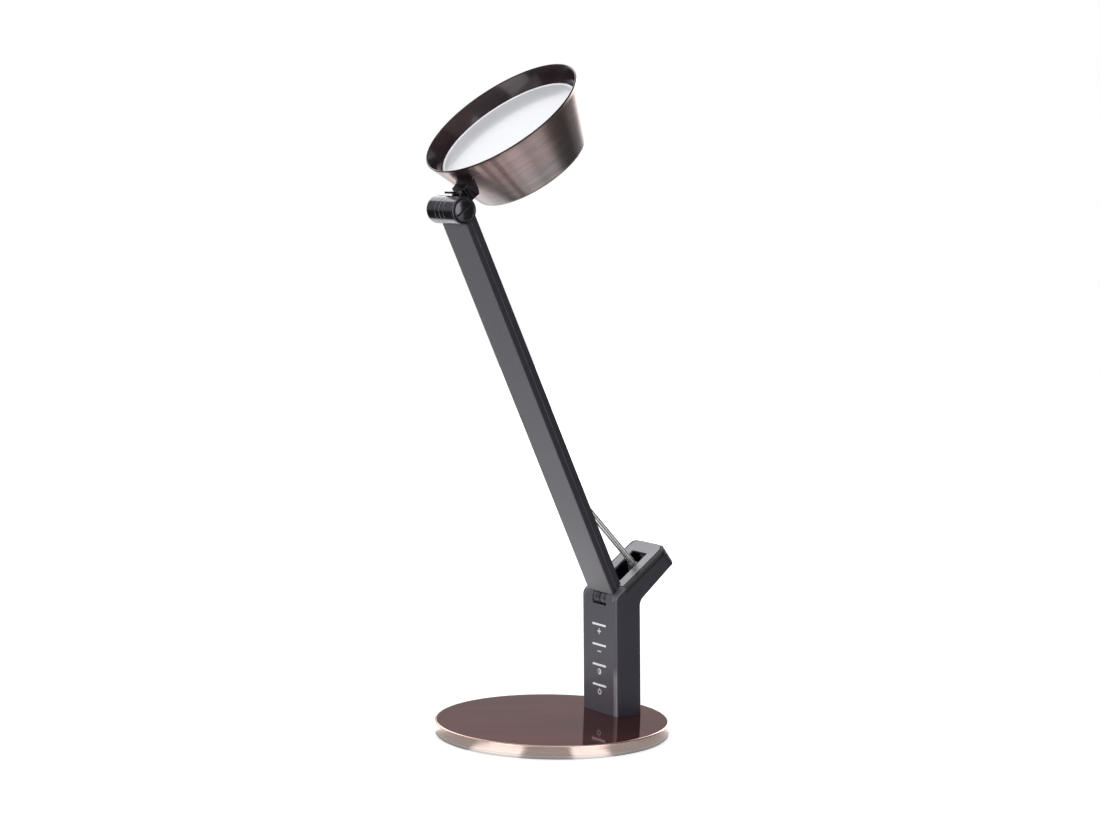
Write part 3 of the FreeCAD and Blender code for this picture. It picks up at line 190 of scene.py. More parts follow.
def acrossOf(tree, points):
    return mathOf(tree, "ABSOLUTE", axisOf(tree, points, "X"))


def bandOf(tree, value, low, high, soft=0.15):
    rise = rangeOf(tree, value, 0.0, 1.0, low - soft, low + soft)
    fall = rangeOf(tree, value, 1.0, 0.0, high - soft, high + soft)
    return productOf(tree, rise, fall)


# Finishes of the plain kinds: paint, moulded plastic, rolled or turned metal

inMm = (1000.0,) * 3
plainGrain = (1600.0,) * 3


def satinFinish(name, colours, rough, grain=1600.0, depth=0.00002, metallic=0.0, edge=0.0003, patch=30.0,
                specular=0.5, glow=0.0):
    mat, tree, shader = newMaterial(name)
    cloud = noiseOf(tree, objectPoints(tree, (patch,) * 3), detail=3.0)
    fine = noiseOf(tree, objectPoints(tree, (grain,) * 3), detail=2.0)
    under = softEdge(tree, edge) if edge else None
    feed(tree, shader, Base_Color=tonesOf(tree, cloud, colours, 0.35, 0.65), Metallic=metallic,
         Roughness=rangeOf(tree, fine, *rough), Specular_IOR_Level=specular, Emission_Strength=glow,
         Emission_Color=(0.80, 0.76, 1.0, 1.0), Normal=bumpOf(tree, fine, depth, under))
    return mat


def streakedMetal(name, colours, rough, along):
    mat, tree, shader = newMaterial(name)
    streaks = noiseOf(tree, objectPoints(tree, along), detail=5.0, roughness=0.7)
    feed(tree, shader, Base_Color=tonesOf(tree, streaks, colours), Metallic=1.0,
         Roughness=rangeOf(tree, streaks, *rough),
         Normal=bumpOf(tree, streaks, 0.00001, softEdge(tree, 0.0002)))
    return mat


# Brushed round the axis: streaks holds the noise's scale round it and along it, and the scratches' darkness
def brushedCopper(name, place, spread, colours, rough, streaks):
    mat, tree, shader = newMaterial(name)
    roundIt, along, dark = streaks
    height = axisOf(tree, objectPoints(tree, inMm, place), "Z")
    drift = noiseOf(tree, objectPoints(tree, (9.0, 9.0, along / 8), place), detail=3.0)
    level = mathOf(tree, "ADD", rangeOf(tree, height, 0.0, 1.0, *spread), rangeOf(tree, drift, -0.45, 0.45))
    tone = tonesOf(tree, level, colours, 0.0, 1.0)
    fine = noiseOf(tree, objectPoints(tree, (roundIt, roundIt, along), place), detail=6.0, roughness=0.75)
    scratch = tonesOf(tree, fine, ((dark,) * 3, (1.0,) * 3), 0.34, 0.60)
    tangent = tree.nodes.new("ShaderNodeTangent")
    tangent.direction_type = "UV_MAP"
    tangent.uv_map = "brushing"
    feed(tree, shader, Base_Color=mixed(tree, 1.0, tone, scratch, "MULTIPLY"), Metallic=1.0, Anisotropic=1.0,
         Roughness=rangeOf(tree, fine, *rough), Tangent=tangent.outputs["Tangent"],
         Normal=bumpOf(tree, fine, 0.000004))
    return mat


# A moulded shell seen on its face and its flanks: two tones, split by the distance from its middle plane

def twoToneShell(name, place, half, face, flank, rough, edge=0.0006, extras=()):
    mat, tree, shader = newMaterial(name)
    points = objectPoints(tree, inMm, place)
    side = rangeOf(tree, acrossOf(tree, points), 0.0, 1.0, half - 0.35, half - 0.1)
    fine = noiseOf(tree, objectPoints(tree, plainGrain), detail=2.0)
    tone = mixed(tree, side, tonesOf(tree, fine, face), tonesOf(tree, fine, flank))
    for maskOf, colours in extras:
        tone = mixed(tree, maskOf(tree, points), tone, tonesOf(tree, fine, colours))
    feed(tree, shader, Base_Color=tone, Roughness=rangeOf(tree, fine, *rough), Specular_IOR_Level=0.4,
         Metallic=rangeOf(tree, side, 0.35, 0.0, 0.0, 1.0),
         Normal=bumpOf(tree, fine, 0.00001, softEdge(tree, edge)))
    return mat


# Masks over a shell, in mm in its own frame

def slopeMask(tree, points):
    # the frame round the slot, behind the front
    return bandOf(tree, axisOf(tree, points, "Y"), 2.5, 99.0, 0.5)


def slopeEdgeHighlightMask(tree, points):
    # a painted highlight: a bright line along the frame's two long edges
    return productOf(tree, slopeMask(tree, points), bandOf(tree, acrossOf(tree, points), 20.9, 21.9, 0.2))


def paintedFootHighlightMask(tree, points):
    # a painted highlight: a bright strip, standing in for light on the rounded edge, that grows from the
    # right front edge down to the foot
    front = bandOf(tree, axisOf(tree, points, "Y"), -9.0, -6.0, 0.2)
    low = bandOf(tree, axisOf(tree, points, "Z"), -99.0, -56.0, 5.0)
    return productOf(tree, front, low, bandOf(tree, axisOf(tree, points, "X"), 18.3, 23.0, 0.2))


def cheekHighlightMask(tree, points):
    # painted highlights: bright lines at the tops and inner edges of the two cheeks beside the notch, broken
    # up by noise
    across = acrossOf(tree, points)
    up = axisOf(tree, points, "Z")
    front = bandOf(tree, axisOf(tree, points, "Y"), -9.0, -2.5, 0.3)
    patchy = rangeOf(tree, noiseOf(tree, points, scale=0.4, detail=3.0), 0.1, 1.0)
    top = productOf(tree, bandOf(tree, across, 17.6, 19.4, 0.3), bandOf(tree, up, -0.2, 3.0, 0.3))
    inner = productOf(tree, bandOf(tree, across, 9.0, 9.4, 0.12), bandOf(tree, up, -4.9, 5.0, 0.3))
    return productOf(tree, front, patchy, mathOf(tree, "MAXIMUM", top, inner))


def armSeamHighlightMask(tree, points):
    # a painted highlight: a thin bright line at the seam, broken up along the arm
    broken = rangeOf(tree, noiseOf(tree, points, scale=0.05, detail=2.0), 0.35, 1.0)
    side = bandOf(tree, acrossOf(tree, points), 16.1, 18.0, 0.1)
    return productOf(tree, side, bandOf(tree, axisOf(tree, points, "Y"), 1.65, 2.6, 0.12), broken)


# Satin finishes: two tones, the roughness range, and what departs from a plain satin surface
satins = {
    "darkShell": (((0.0205, 0.0192, 0.030), (0.025, 0.0237, 0.0355)), (0.42, 0.52),
                  {"edge": 0.0005, "specular": 0.35}),
    "darkArmBack": (((0.0102, 0.0096, 0.016), (0.014, 0.013, 0.0195)), (0.42, 0.52),
                    {"edge": 0.0004, "specular": 0.35}),
    "jointBlack": (((0.072, 0.070, 0.084), (0.100, 0.098, 0.112)), (0.09, 0.13),
                   {"metallic": 0.95, "depth": 0.000003, "edge": 0.0007}),
    "capBlack": (((0.072, 0.070, 0.084), (0.100, 0.098, 0.112)), (0.12, 0.17),
                 {"metallic": 0.95, "depth": 0.000003}),
    # the slot lining's glow is painted light in the slot
    "slotLiningPaintedGlow": (((0.16, 0.155, 0.185), (0.20, 0.195, 0.225)), (0.4, 0.5), {"glow": 0.016}),
    "silverTrim": (((0.23, 0.225, 0.245), (0.28, 0.275, 0.295)), (0.34, 0.44),
                   {"metallic": 0.5, "edge": 0.0001}),
    "blackSteel": (((0.018, 0.018, 0.020), (0.03, 0.03, 0.033)), (0.3, 0.45), {"metallic": 0.6}),
    "castIron": (((0.10, 0.10, 0.105), (0.14, 0.14, 0.14)), (0.55, 0.75),
                 {"grain": 700.0, "depth": 0.0001, "metallic": 0.8}),
    "mouldedBlack": (((0.016, 0.016, 0.018), (0.026, 0.026, 0.028)), (0.45, 0.6), {}),
    "mouldedWhite": (((0.66, 0.66, 0.67), (0.74, 0.74, 0.75)), (0.35, 0.5), {}),
    "foamRubber": (((0.012, 0.012, 0.012), (0.022, 0.022, 0.022)), (0.8, 0.95),
                   {"grain": 900.0, "depth": 0.00008}),
    "brassPad": (((0.50, 0.36, 0.14), (0.60, 0.44, 0.19)), (0.3, 0.45), {"metallic": 1.0}),
    "phosphor": (((0.75, 0.60, 0.18), (0.82, 0.68, 0.25)), (0.25, 0.4), {}),
    "signInk": (((0.84, 0.84, 0.86), (0.92, 0.92, 0.94)), (0.35, 0.5),
                {"grain": 4000.0, "depth": 0.000004, "edge": 0, "patch": 400.0}),
}

finishes = {name: satinFinish(name, tones, rough, **more) for name, (tones, rough, more) in satins.items()}
finishes["zincSteel"] = streakedMetal("zincSteel", ((0.42, 0.42, 0.44), (0.56, 0.56, 0.58)), (0.28, 0.42),
                                      (500.0, 500.0, 500.0))
finishes["plainAluminium"] = streakedMetal("plainAluminium", ((0.55, 0.55, 0.56), (0.66, 0.66, 0.67)),
                                           (0.3, 0.45), (60.0, 600.0, 600.0))


# Turned pieces: a closed outline of (radius, height) points spun round Z; its UV map's U runs along it

def arcPoints(centre, radius, start, end, steps):
    points = []
    for i in range(steps + 1):
        angle = math.radians(start + (end - start) * i / steps)
        points.append((centre[0] + radius * math.cos(angle), centre[1] + radius * math.sin(angle)))
    return points


def turnedPiece(name, sections, place, segments=192):
    mesh = bpy.data.meshes.new(name)
    bm = bmesh.new()
    uv = bm.loops.layers.uv.new("brushing")
    outline = []
    for slotIndex, points in enumerate(sections):
        for p in points:
            outline.append((p[0] * mm, p[1] * mm, slotIndex))
    lengths = [0.0]
    for a, b in zip(outline, outline[1:]):
        lengths.append(lengths[-1] + math.hypot(b[0] - a[0], b[1] - a[1]))
    turns = [2 * math.pi * i / segments for i in range(segments)]
    rings = []
    for r, z, slotIndex in outline:
        if r < sameSpot:
            rings.append([bm.verts.new((0, 0, z))] * segments)
        else:
            rings.append([bm.verts.new((r * math.cos(turn), r * math.sin(turn), z)) for turn in turns])
    for k in range(len(outline) - 1):
        if math.hypot(outline[k][0] - outline[k + 1][0], outline[k][1] - outline[k + 1][1]) < sameRing:
            continue
        for i in range(segments):
            j = (i + 1) % segments
            corners = [(rings[k][i], lengths[k], i), (rings[k][j], lengths[k], i + 1),
                       (rings[k + 1][j], lengths[k + 1], i + 1), (rings[k + 1][i], lengths[k + 1], i)]
            seen = []
            kept = []
            for corner in corners:
                if corner[0] not in seen:
                    seen.append(corner[0])
                    kept.append(corner)
            if len(kept) < 3:
                continue
            face = bm.faces.new([c[0] for c in kept])
            face.smooth = True
            face.material_index = outline[k + 1][2]
            for loop, corner in zip(face.loops, kept):
                loop[uv].uv = (corner[1] * 10, corner[2] / segments)
    bmesh.ops.remove_doubles(bm, verts=bm.verts, dist=sameSpot)
    bmesh.ops.recalc_face_normals(bm, faces=bm.faces)
    bm.transform(place)
    bm.to_mesh(mesh)
    bm.free()
    return addObject(name, mesh)


def sharpenBy(obj, degrees):
    for poly in obj.data.polygons:
        poly.use_smooth = True
    obj.data.set_sharp_from_angle(angle=math.radians(degrees))


# Base dish: polished top, brushed rim

baseDish = {"radius": 90.0, "top": 10.5, "skirt": 3.0, "sheet": 1.2, "edge": 1.0, "edgeLine": 0.5,
            "hem": 0.25}


def buildBaseDish():
    d = baseDish
    r = d["radius"]
    e = d["edge"]
    inner = r - d["sheet"]
    top = [(0, d["top"]), (r * 0.5, d["top"]), (r - e - d["edgeLine"], d["top"])]
    line = [(r - e - d["edgeLine"], d["top"]), (r - e, d["top"])]
    line += arcPoints((r - e, d["top"] - e), e, 90, 0, 8)[1:]
    hem = d["hem"]
    rim = [(r, d["top"] - e), (r, (d["top"] + d["skirt"]) / 2), (r, d["skirt"] + hem)]
    rim += arcPoints((r - hem, d["skirt"] + hem), hem, 0, -90, 4)[1:]
    rim += [(inner, d["skirt"]), (inner, d["top"] - d["sheet"]), (0, d["top"] - d["sheet"])]
    obj = turnedPiece("baseDish", [top, line, rim], Matrix.Identity(4), 256)
    sharpenBy(obj, 50)
    return obj


def polishedTopMaterial():
    mat, tree, shader = newMaterial("polishedCopperTop")
    turned = Matrix.Rotation(math.radians(-27.0), 4, "Z")
    haze = noiseOf(tree, objectPoints(tree, (26.0, 5.0, 5.0), turned), detail=4.0, distortion=0.3)
    swirl = noiseOf(tree, objectPoints(tree, (300.0,) * 3), detail=3.0)
    feed(tree, shader, Roughness=rangeOf(tree, swirl, 0.05, 0.08), Metallic=0.7, Specular_IOR_Level=0.3,
         Base_Color=tonesOf(tree, haze, ((0.120, 0.052, 0.054), (0.205, 0.070, 0.066)), 0.35, 0.65),
         Specular_Tint=(0.60, 0.46, 0.46, 1.0), Coat_Weight=0.22, Coat_Roughness=0.03)
    return mat


def copperLineMaterial():
    mat, tree, shader = newMaterial("brightCopperEdge")
    fine = noiseOf(tree, objectPoints(tree, (20.0, 20.0, 3000.0)), detail=4.0)
    feed(tree, shader, Base_Color=tonesOf(tree, fine, ((0.70, 0.47, 0.40), (0.85, 0.64, 0.57))),
         Roughness=rangeOf(tree, fine, 0.2, 0.3), Metallic=1.0)
    return mat


dish = buildBaseDish()
addMaterials(dish, polishedTopMaterial(), copperLineMaterial(),
             brushedCopper("brushedCopperRim", Matrix.Identity(4), (3.0, 10.0),
                           ((0.60, 0.47, 0.435), (0.64, 0.48, 0.43)), (0.18, 0.24), (24.0, 1700.0, 0.78)))
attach(dish, "stand")
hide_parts("base_cover")
print("base dish made")


# Shade: a spun cup with a rolled bead at its mouth, in the head frame

shadeCup = {"axis": 75.457, "rimZ": 26.18, "rimR": 64.34, "backR": 47.04, "height": 46.2, "wall": 1.0,
            "backEdge": 3.0, "bead": 0.6, "wallPoint": 14.0, "steps": 14}


def shadeOutline():
    d = shadeCup
    slope = (d["rimR"] - d["backR"]) / d["height"]
    lean = math.degrees(math.atan(slope))
    backZ = d["rimZ"] - d["height"]
    wallOut = d["wall"] * math.hypot(1, slope)
    edge = d["backEdge"]
    arcX = d["backR"] + slope * edge - edge * math.hypot(1, slope)
    outside = [(0, backZ), (arcX * 0.5, backZ)]
    outside += arcPoints((arcX, backZ + edge), edge, -90, -lean, 10)
    steps = d["steps"]
    startR, startZ = outside[-1]
    endR, endZ = d["rimR"] - slope * d["bead"], d["rimZ"] - d["bead"]
    outside += [(startR + (endR - startR) * i / steps, startZ + (endZ - startZ) * i / steps)
                for i in range(1, steps + 1)]
    bead = arcPoints((d["rimR"] - d["wall"] / 2, d["rimZ"]), d["bead"], -30, 210, 14)
    inside = [(d["rimR"] - wallOut - slope * d["bead"], d["rimZ"] - d["bead"])]
    innerEdge = edge - d["wall"]
    innerZ = backZ + d["wall"]
    inArcX = d["backR"] - wallOut + slope * (d["wall"] + innerEdge) - innerEdge * math.hypot(1, slope)
    inside += [(d["backR"] - wallOut + slope * (d["height"] - d["wallPoint"]), d["rimZ"] - d["wallPoint"])]
    inside += arcPoints((inArcX, innerZ + innerEdge), innerEdge, -lean, -90, 8)
    inside += [(0, innerZ)]
    return [outside, bead, inside]


shadePlace = headPlace @ Matrix.Translation((0, shadeCup["axis"] * mm, 0))
shade = turnedPiece("shadeCup", shadeOutline(), shadePlace, 256)
sharpenBy(shade, 60)


def shadeInsideMaterial():
    mat, tree, shader = newMaterial("lacqueredInside")
    haze = noiseOf(tree, objectPoints(tree, (12.0, 12.0, 60.0), shadePlace), detail=3.0)
    fine = noiseOf(tree, objectPoints(tree, (300.0,) * 3), detail=2.0)
    feed(tree, shader, Base_Color=tonesOf(tree, haze, ((0.021, 0.015, 0.019), (0.062, 0.036, 0.039))),
         Roughness=rangeOf(tree, fine, 0.13, 0.19), Metallic=0.3)
    return mat


addMaterials(shade,
             brushedCopper("brushedAntiqueCopper", shadePlace, (-18.0, 24.0),
                           ((0.39, 0.345, 0.345), (0.49, 0.36, 0.34)), (0.2, 0.26), (30.0, 2300.0, 0.66)),
             brushedCopper("beadCopper", shadePlace, (24.0, 27.0),
                           ((0.05, 0.04, 0.04), (0.10, 0.07, 0.07)), (0.18, 0.24), (50.0, 3000.0, 0.8)),
             shadeInsideMaterial())
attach(shade, "head")
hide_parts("shade")
print("shade made")


# Diffuser: a milky disc with a thin raised edge ring

diffuserDisc = {"depth": 12.7, "radius": 57.4, "thick": 2.0, "lipW": 1.2, "lipH": 0.6, "round": 0.25,
                "fillet": 0.3}


def buildDiffuser():
    d = diffuserDisc
    r = d["radius"]
    front = shadeCup["rimZ"] - d["depth"]
    back = front - d["thick"]
    crown = front + d["lipH"]
    e = d["round"]
    f = d["fillet"]
    face = [(0, front), (r * 0.4, front), (r * 0.8, front), (r - d["lipW"] - f, front)]
    ring = arcPoints((r - d["lipW"] - f, front + f), f, -90, 0, 3)
    ring += arcPoints((r - d["lipW"] + e, crown - e), e, 180, 90, 4)
    ring += arcPoints((r - e, crown - e), e, 90, 0, 4)
    rest = [(r, crown - e), (r, back), (0, back)]
    obj = turnedPiece("diffuserDisc", [face, ring, rest], shadePlace, 160)
    sharpenBy(obj, 50)
    return obj


def diffuserMaterial(name, colour, rough, glow):
    mat, tree, shader = newMaterial(name)
    haze = noiseOf(tree, objectPoints(tree, (18.0,) * 3), detail=2.0)
    fine = noiseOf(tree, objectPoints(tree, (900.0,) * 3), detail=2.0)
    dim = tuple(c * 0.97 for c in colour)
    feed(tree, shader, Base_Color=tonesOf(tree, haze, (dim, colour)),
         Roughness=rangeOf(tree, fine, rough, rough + 0.05), Normal=bumpOf(tree, fine, 0.000004),
         Emission_Color=(0.95, 0.97, 1.0, 1.0), Emission_Strength=glow, Subsurface_Weight=0.15,
         Subsurface_Radius=(0.004, 0.004, 0.004), Subsurface_Scale=1.0, Coat_Weight=0.25,
         Coat_Roughness=0.08)
    return mat


diffuser = buildDiffuser()
# the disc and its ring glow a little though the lamp is off: painted light that evens out the shade on the
# disc and brightens the ring
milky = diffuserMaterial("milkyAcrylicPaintedGlow", (0.595, 0.60, 0.645), 0.2, 0.11)
ringWhite = diffuserMaterial("acrylicEdgeRingPaintedGlow", (0.97, 0.97, 0.98), 0.15, 0.14)
addMaterials(diffuser, milky, ringWhite, milky)
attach(diffuser, "head")
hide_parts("diffuser")
print("diffuser made")


# Signs printed under the light bars: generic plus, minus, half-filled disc and power mark

signs = {"firstBar": 20.9, "pitch": 15.9, "drop": 5.2, "face": -6.8, "ink": 0.04, "sunk": 0.02, "size": 4.8,
         "line": 1.05}


def flatShape(points, z0, z1):
    bm = bmesh.new()
    low = [bm.verts.new((x, z0, z)) for x, z in points]
    high = [bm.verts.new((x, z1, z)) for x, z in points]
    bm.faces.new(low)
    bm.faces.new(list(reversed(high)))
    for i in range(len(points)):
        j = (i + 1) % len(points)
        bm.faces.new((low[j], low[i], high[i], high[j]))
    bmesh.ops.recalc_face_normals(bm, faces=bm.faces)
    return bm


def barPoints(length, width, turn=0.0, centre=(0, 0)):
    half = length / 2 - width / 2
    points = arcPoints((half, 0), width / 2, -90, 90, 8) + arcPoints((-half, 0), width / 2, 90, 270, 8)
    c, s = math.cos(math.radians(turn)), math.sin(math.radians(turn))
    return [(centre[0] + x * c - z * s, centre[1] + x * s + z * c) for x, z in points]


def ringPoints(radius, width, start, end, steps=32):
    outer = arcPoints((0, 0), radius, start, end, steps)
    inner = arcPoints((0, 0), radius - width, end, start, steps)
    return outer + inner


def signShapes():
    size, line = signs["size"], signs["line"]
    plus = [[(line / 2, line / 2), (size / 2, line / 2), (size / 2, -line / 2), (line / 2, -line / 2),
             (line / 2, -size / 2), (-line / 2, -size / 2), (-line / 2, -line / 2), (-size / 2, -line / 2),
             (-size / 2, line / 2), (-line / 2, line / 2), (-line / 2, size / 2), (line / 2, size / 2)]]
    minus = [[(-size / 2, -line / 2), (-size / 2, line / 2), (size / 2, line / 2), (size / 2, -line / 2)]]
    half = [ringPoints(size / 2, line * 0.6, 90, 270), arcPoints((0, 0), size / 2, -90, 90, 32)]
    power = [ringPoints(size / 2, line * 0.8, 125, 415),
             barPoints(size * 0.5, line * 0.8, 90, (0, size * 0.33))]
    return [plus, minus, half, power]


def buildSigns():
    whole = bmesh.new()
    for row, shapes in enumerate(signShapes()):
        z = -(signs["firstBar"] + row * signs["pitch"] + signs["drop"])
        for points in shapes:
            part = flatShape([(x, high + z) for x, high in points], signs["face"] - signs["ink"],
                             signs["face"] + signs["sunk"])
            temp = bpy.data.meshes.new("part")
            part.to_mesh(temp)
            part.free()
            whole.from_mesh(temp)
            bpy.data.meshes.remove(temp)
    mesh = bpy.data.meshes.new("keySigns")
    bmesh.ops.scale(whole, vec=(mm, mm, mm), verts=whole.verts)
    whole.transform(columnPlace)
    whole.to_mesh(mesh)
    whole.free()
    return addObject("keySigns", mesh)


keySigns = buildSigns()
addMaterials(keySigns, finishes["signInk"])
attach(keySigns, "stand")
print("signs made")


# End cap of the barrel joint: a low dome with a ring groove and a coin slot

endCap = {"from": 16.0, "to": 18.0, "radius": 10.3, "grooveOut": 8.7, "grooveIn": 7.7, "groove": 0.85,
          "dome": 0.75, "sink": 0.25, "step": 0.2, "bevel": 0.15, "edge": 0.5, "slotWide": 1.6,
          "slotLong": 14.4, "slotDeep": 1.0, "turn": 9.2}


def buildEndCap():
    d = endCap
    rimZ = d["to"] - d["sink"]
    e = d["edge"]
    inside = d["grooveIn"] - d["step"]
    dome = [(inside * i / 12, d["to"] - d["dome"] * (i / 12) ** 2) for i in range(13)]
    floor = rimZ - d["groove"]
    groove = [(d["grooveIn"], dome[-1][1] - d["step"]), (d["grooveIn"], floor), (d["grooveOut"], floor),
              (d["grooveOut"], rimZ - d["bevel"]), (d["grooveOut"] + d["bevel"], rimZ)]
    rim = arcPoints((d["radius"] - e, rimZ - e), e, 90, 0, 6) + [(d["radius"], d["from"]), (0, d["from"])]
    place = barrelPlace @ Matrix.Rotation(math.radians(90), 4, "Y")
    obj = turnedPiece("jointEndCap", [dome + groove + rim], place, 96)
    bm = bmesh.new()
    bmesh.ops.create_cube(bm, size=1.0)
    bmesh.ops.scale(bm, vec=(d["slotDeep"] * 2 * mm, d["slotLong"] * mm, d["slotWide"] * mm), verts=bm.verts)
    bm.transform(barrelPlace @ Matrix.Rotation(math.radians(d["turn"]), 4, "X")
                 @ Matrix.Translation((d["to"] * mm, 0, 0)))
    cutter = addObject("capSlot", bpy.data.meshes.new("capSlot"))
    bm.to_mesh(cutter.data)
    bm.free()
    cut = obj.modifiers.new("cut", "BOOLEAN")
    cut.operation = "DIFFERENCE"
    cut.solver = "EXACT"
    cut.object = cutter
    cutMesh = bpy.data.meshes.new_from_object(obj.evaluated_get(bpy.context.evaluated_depsgraph_get()))
    obj.modifiers.clear()
    obj.data = cutMesh
    bpy.data.objects.remove(cutter)
    sharpenBy(obj, 40)
    return obj


jointCap = buildEndCap()
jointCap.data.materials.clear()
addMaterials(jointCap, finishes["capBlack"])
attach(jointCap, "arm")
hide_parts("joint_end_cap")
print("joint cap made")


# Repeated small pieces: node trees that set one made part on every given point

def pieceTree(name, inputs):
    tree = bpy.data.node_groups.new(name, "GeometryNodeTree")
    for label, kind in inputs:
        tree.interface.new_socket(name=label, in_out="INPUT", socket_type="NodeSocket" + kind)
    tree.interface.new_socket(name="Geometry", in_out="OUTPUT", socket_type="NodeSocketGeometry")
    source = tree.nodes.new("NodeGroupInput")
    return tree, source.outputs


def vectorOf(tree, x=0.0, y=0.0, z=0.0):
    return addNode(tree, "ShaderNodeCombineXYZ", X=x, Y=y, Z=z).outputs[0]


def rodAt(tree, radius, depth, z, sides=32):
    rod = addNode(tree, "GeometryNodeMeshCylinder", Vertices=sides, Radius=radius, Depth=depth)
    return addNode(tree, "GeometryNodeTransform", Geometry=rod.outputs["Mesh"],
                   Translation=vectorOf(tree, z=z)).outputs[0]


def combined(tree, kind, first, others):
    join = tree.nodes.new("GeometryNodeMeshBoolean")
    join.operation = kind
    join.solver = "EXACT"
    if first is not None:
        tree.links.new(first, join.inputs["Mesh 1"])
    for other in others:
        tree.links.new(other, join.inputs["Mesh 2"])
    return join.outputs["Mesh"]


def spreadOut(tree, points, piece, seed=None):
    placed = addNode(tree, "GeometryNodeInstanceOnPoints", Points=points, Instance=piece).outputs[0]
    if seed is not None:
        spin = addNode(tree, "FunctionNodeRandomValue", Seed=seed)
        spin.data_type = "FLOAT"
        spin.inputs[3].default_value = math.pi
        turn = addNode(tree, "FunctionNodeEulerToRotation", Euler=vectorOf(tree, z=spin.outputs[1]))
        placed = addNode(tree, "GeometryNodeRotateInstances", Instances=placed,
                         Rotation=turn.outputs[0]).outputs[0]
    return addNode(tree, "GeometryNodeRealizeInstances", Geometry=placed).outputs[0]


def dressed(tree, geometry, finish):
    return addNode(tree, "GeometryNodeSetMaterial", Geometry=geometry, Material=finish).outputs[0]


def finishTree(tree, geometry):
    out = tree.nodes.new("NodeGroupOutput")
    tree.links.new(geometry, out.inputs[0])


# Shares of the head's radius and height, and of the package's width and height
screwShares = {"crownHigh": 0.3, "crownR": 0.86, "blockHigh": 0.7, "blockAt": -0.65, "slotLong": 2.4,
               "slotWide": 0.34}
chipShares = {"wellR": 0.39, "wellHigh": 0.4, "wellAt": 0.5, "windowR": 0.36, "windowHigh": 0.2,
              "windowAt": 0.35}


def screwTree():
    # head up to Z = 0 with a rounded-off edge and a slot, shank below it
    tree, given = pieceTree("screwSet", (("Places", "Geometry"), ("Shank Radius", "Float"),
                                         ("Shank Length", "Float"), ("Head Radius", "Float"),
                                         ("Head Height", "Float"), ("Seed", "Int"), ("Finish", "Material")))
    headR, headH = given["Head Radius"], given["Head Height"]
    share = screwShares
    crown = productOf(tree, headH, share["crownHigh"])
    cone = addNode(tree, "GeometryNodeMeshCone", Vertices=32, Radius_Bottom=headR, Depth=crown,
                   Radius_Top=productOf(tree, headR, share["crownR"]))
    top = addNode(tree, "GeometryNodeTransform", Geometry=cone.outputs["Mesh"],
                  Translation=vectorOf(tree, z=productOf(tree, crown, -1.0)))
    block = rodAt(tree, headR, productOf(tree, headH, share["blockHigh"]),
                  productOf(tree, headH, share["blockAt"]))
    shankMid = mathOf(tree, "SUBTRACT", productOf(tree, given["Shank Length"], -0.5), headH)
    shank = rodAt(tree, given["Shank Radius"], given["Shank Length"], shankMid, 24)
    solid = combined(tree, "UNION", None, (top.outputs[0], block, shank))
    slotSize = vectorOf(tree, productOf(tree, headR, share["slotLong"]),
                        productOf(tree, headR, share["slotWide"]), headH)
    slot = addNode(tree, "GeometryNodeMeshCube", Size=slotSize)
    screw = combined(tree, "DIFFERENCE", solid, (slot.outputs["Mesh"],))
    finishTree(tree, dressed(tree, spreadOut(tree, given["Places"], screw, given["Seed"]), given["Finish"]))
    return tree


def chipTree():
    # a square package with a round phosphor window sunk in its face, on two rings of places
    tree, given = pieceTree("chipSet", (("Places", "Geometry"), ("Inner Radius", "Float"),
                                        ("Outer Radius", "Float"), ("Inner Count", "Int"),
                                        ("Outer Count", "Int"), ("Chip Size", "Float"),
                                        ("Chip Height", "Float"), ("Package", "Material"),
                                        ("Phosphor", "Material")))
    size, high = given["Chip Size"], given["Chip Height"]
    share = chipShares
    cube = addNode(tree, "GeometryNodeMeshCube", Size=vectorOf(tree, size, size, high))
    well, window = (rodAt(tree, productOf(tree, size, share[part + "R"]),
                          productOf(tree, high, share[part + "High"]),
                          productOf(tree, high, share[part + "At"]), 24) for part in ("well", "window"))
    package = combined(tree, "DIFFERENCE", cube.outputs["Mesh"], (well,))
    both = tree.nodes.new("GeometryNodeJoinGeometry")
    for part, finish in ((package, given["Package"]), (window, given["Phosphor"])):
        tree.links.new(dressed(tree, part, finish), both.inputs[0])
    rings = tree.nodes.new("GeometryNodeJoinGeometry")
    for ring in ("Inner", "Outer"):
        circle = addNode(tree, "GeometryNodeMeshCircle", Vertices=given[ring + " Count"],
                         Radius=given[ring + " Radius"])
        tree.links.new(circle.outputs["Mesh"], rings.inputs[0])
    ringOfChips = spreadOut(tree, rings.outputs[0], both.outputs[0])
    finishTree(tree, spreadOut(tree, given["Places"], ringOfChips))
    return tree


def grownPiece(name, tree, values, points, place):
    mesh = bpy.data.meshes.new(name)
    mesh.from_pydata([tuple(c * mm for c in point) for point in points], [], [])
    obj = addObject(name, mesh)
    grow = obj.modifiers.new("grow", "NODES")
    grow.node_group = tree
    for item in tree.interface.items_tree:
        if item.in_out == "INPUT" and item.name in values:
            grow[item.identifier] = values[item.name]
    grown = bpy.data.meshes.new_from_object(obj.evaluated_get(bpy.context.evaluated_depsgraph_get()))
    obj.modifiers.clear()
    obj.data = grown
    grown.transform(place)
    bm = bmesh.new()
    bm.from_mesh(grown)
    bmesh.ops.remove_doubles(bm, verts=bm.verts, dist=sameSpot)
    bmesh.ops.recalc_face_normals(bm, faces=bm.faces)
    bm.to_mesh(grown)
    bm.free()
    sharpenBy(obj, 30)
    return obj


# Sizes in mm; a place is the middle of a head's outer face, Z out of the head, in the piece's own frame
rearFace = columnPlace @ Matrix.Rotation(math.radians(-90), 4, "X")
armBack = armPlace @ Matrix.Rotation(math.radians(-90), 4, "X")
underside = Matrix.Rotation(math.radians(180), 4, "X")
plateRing = 50

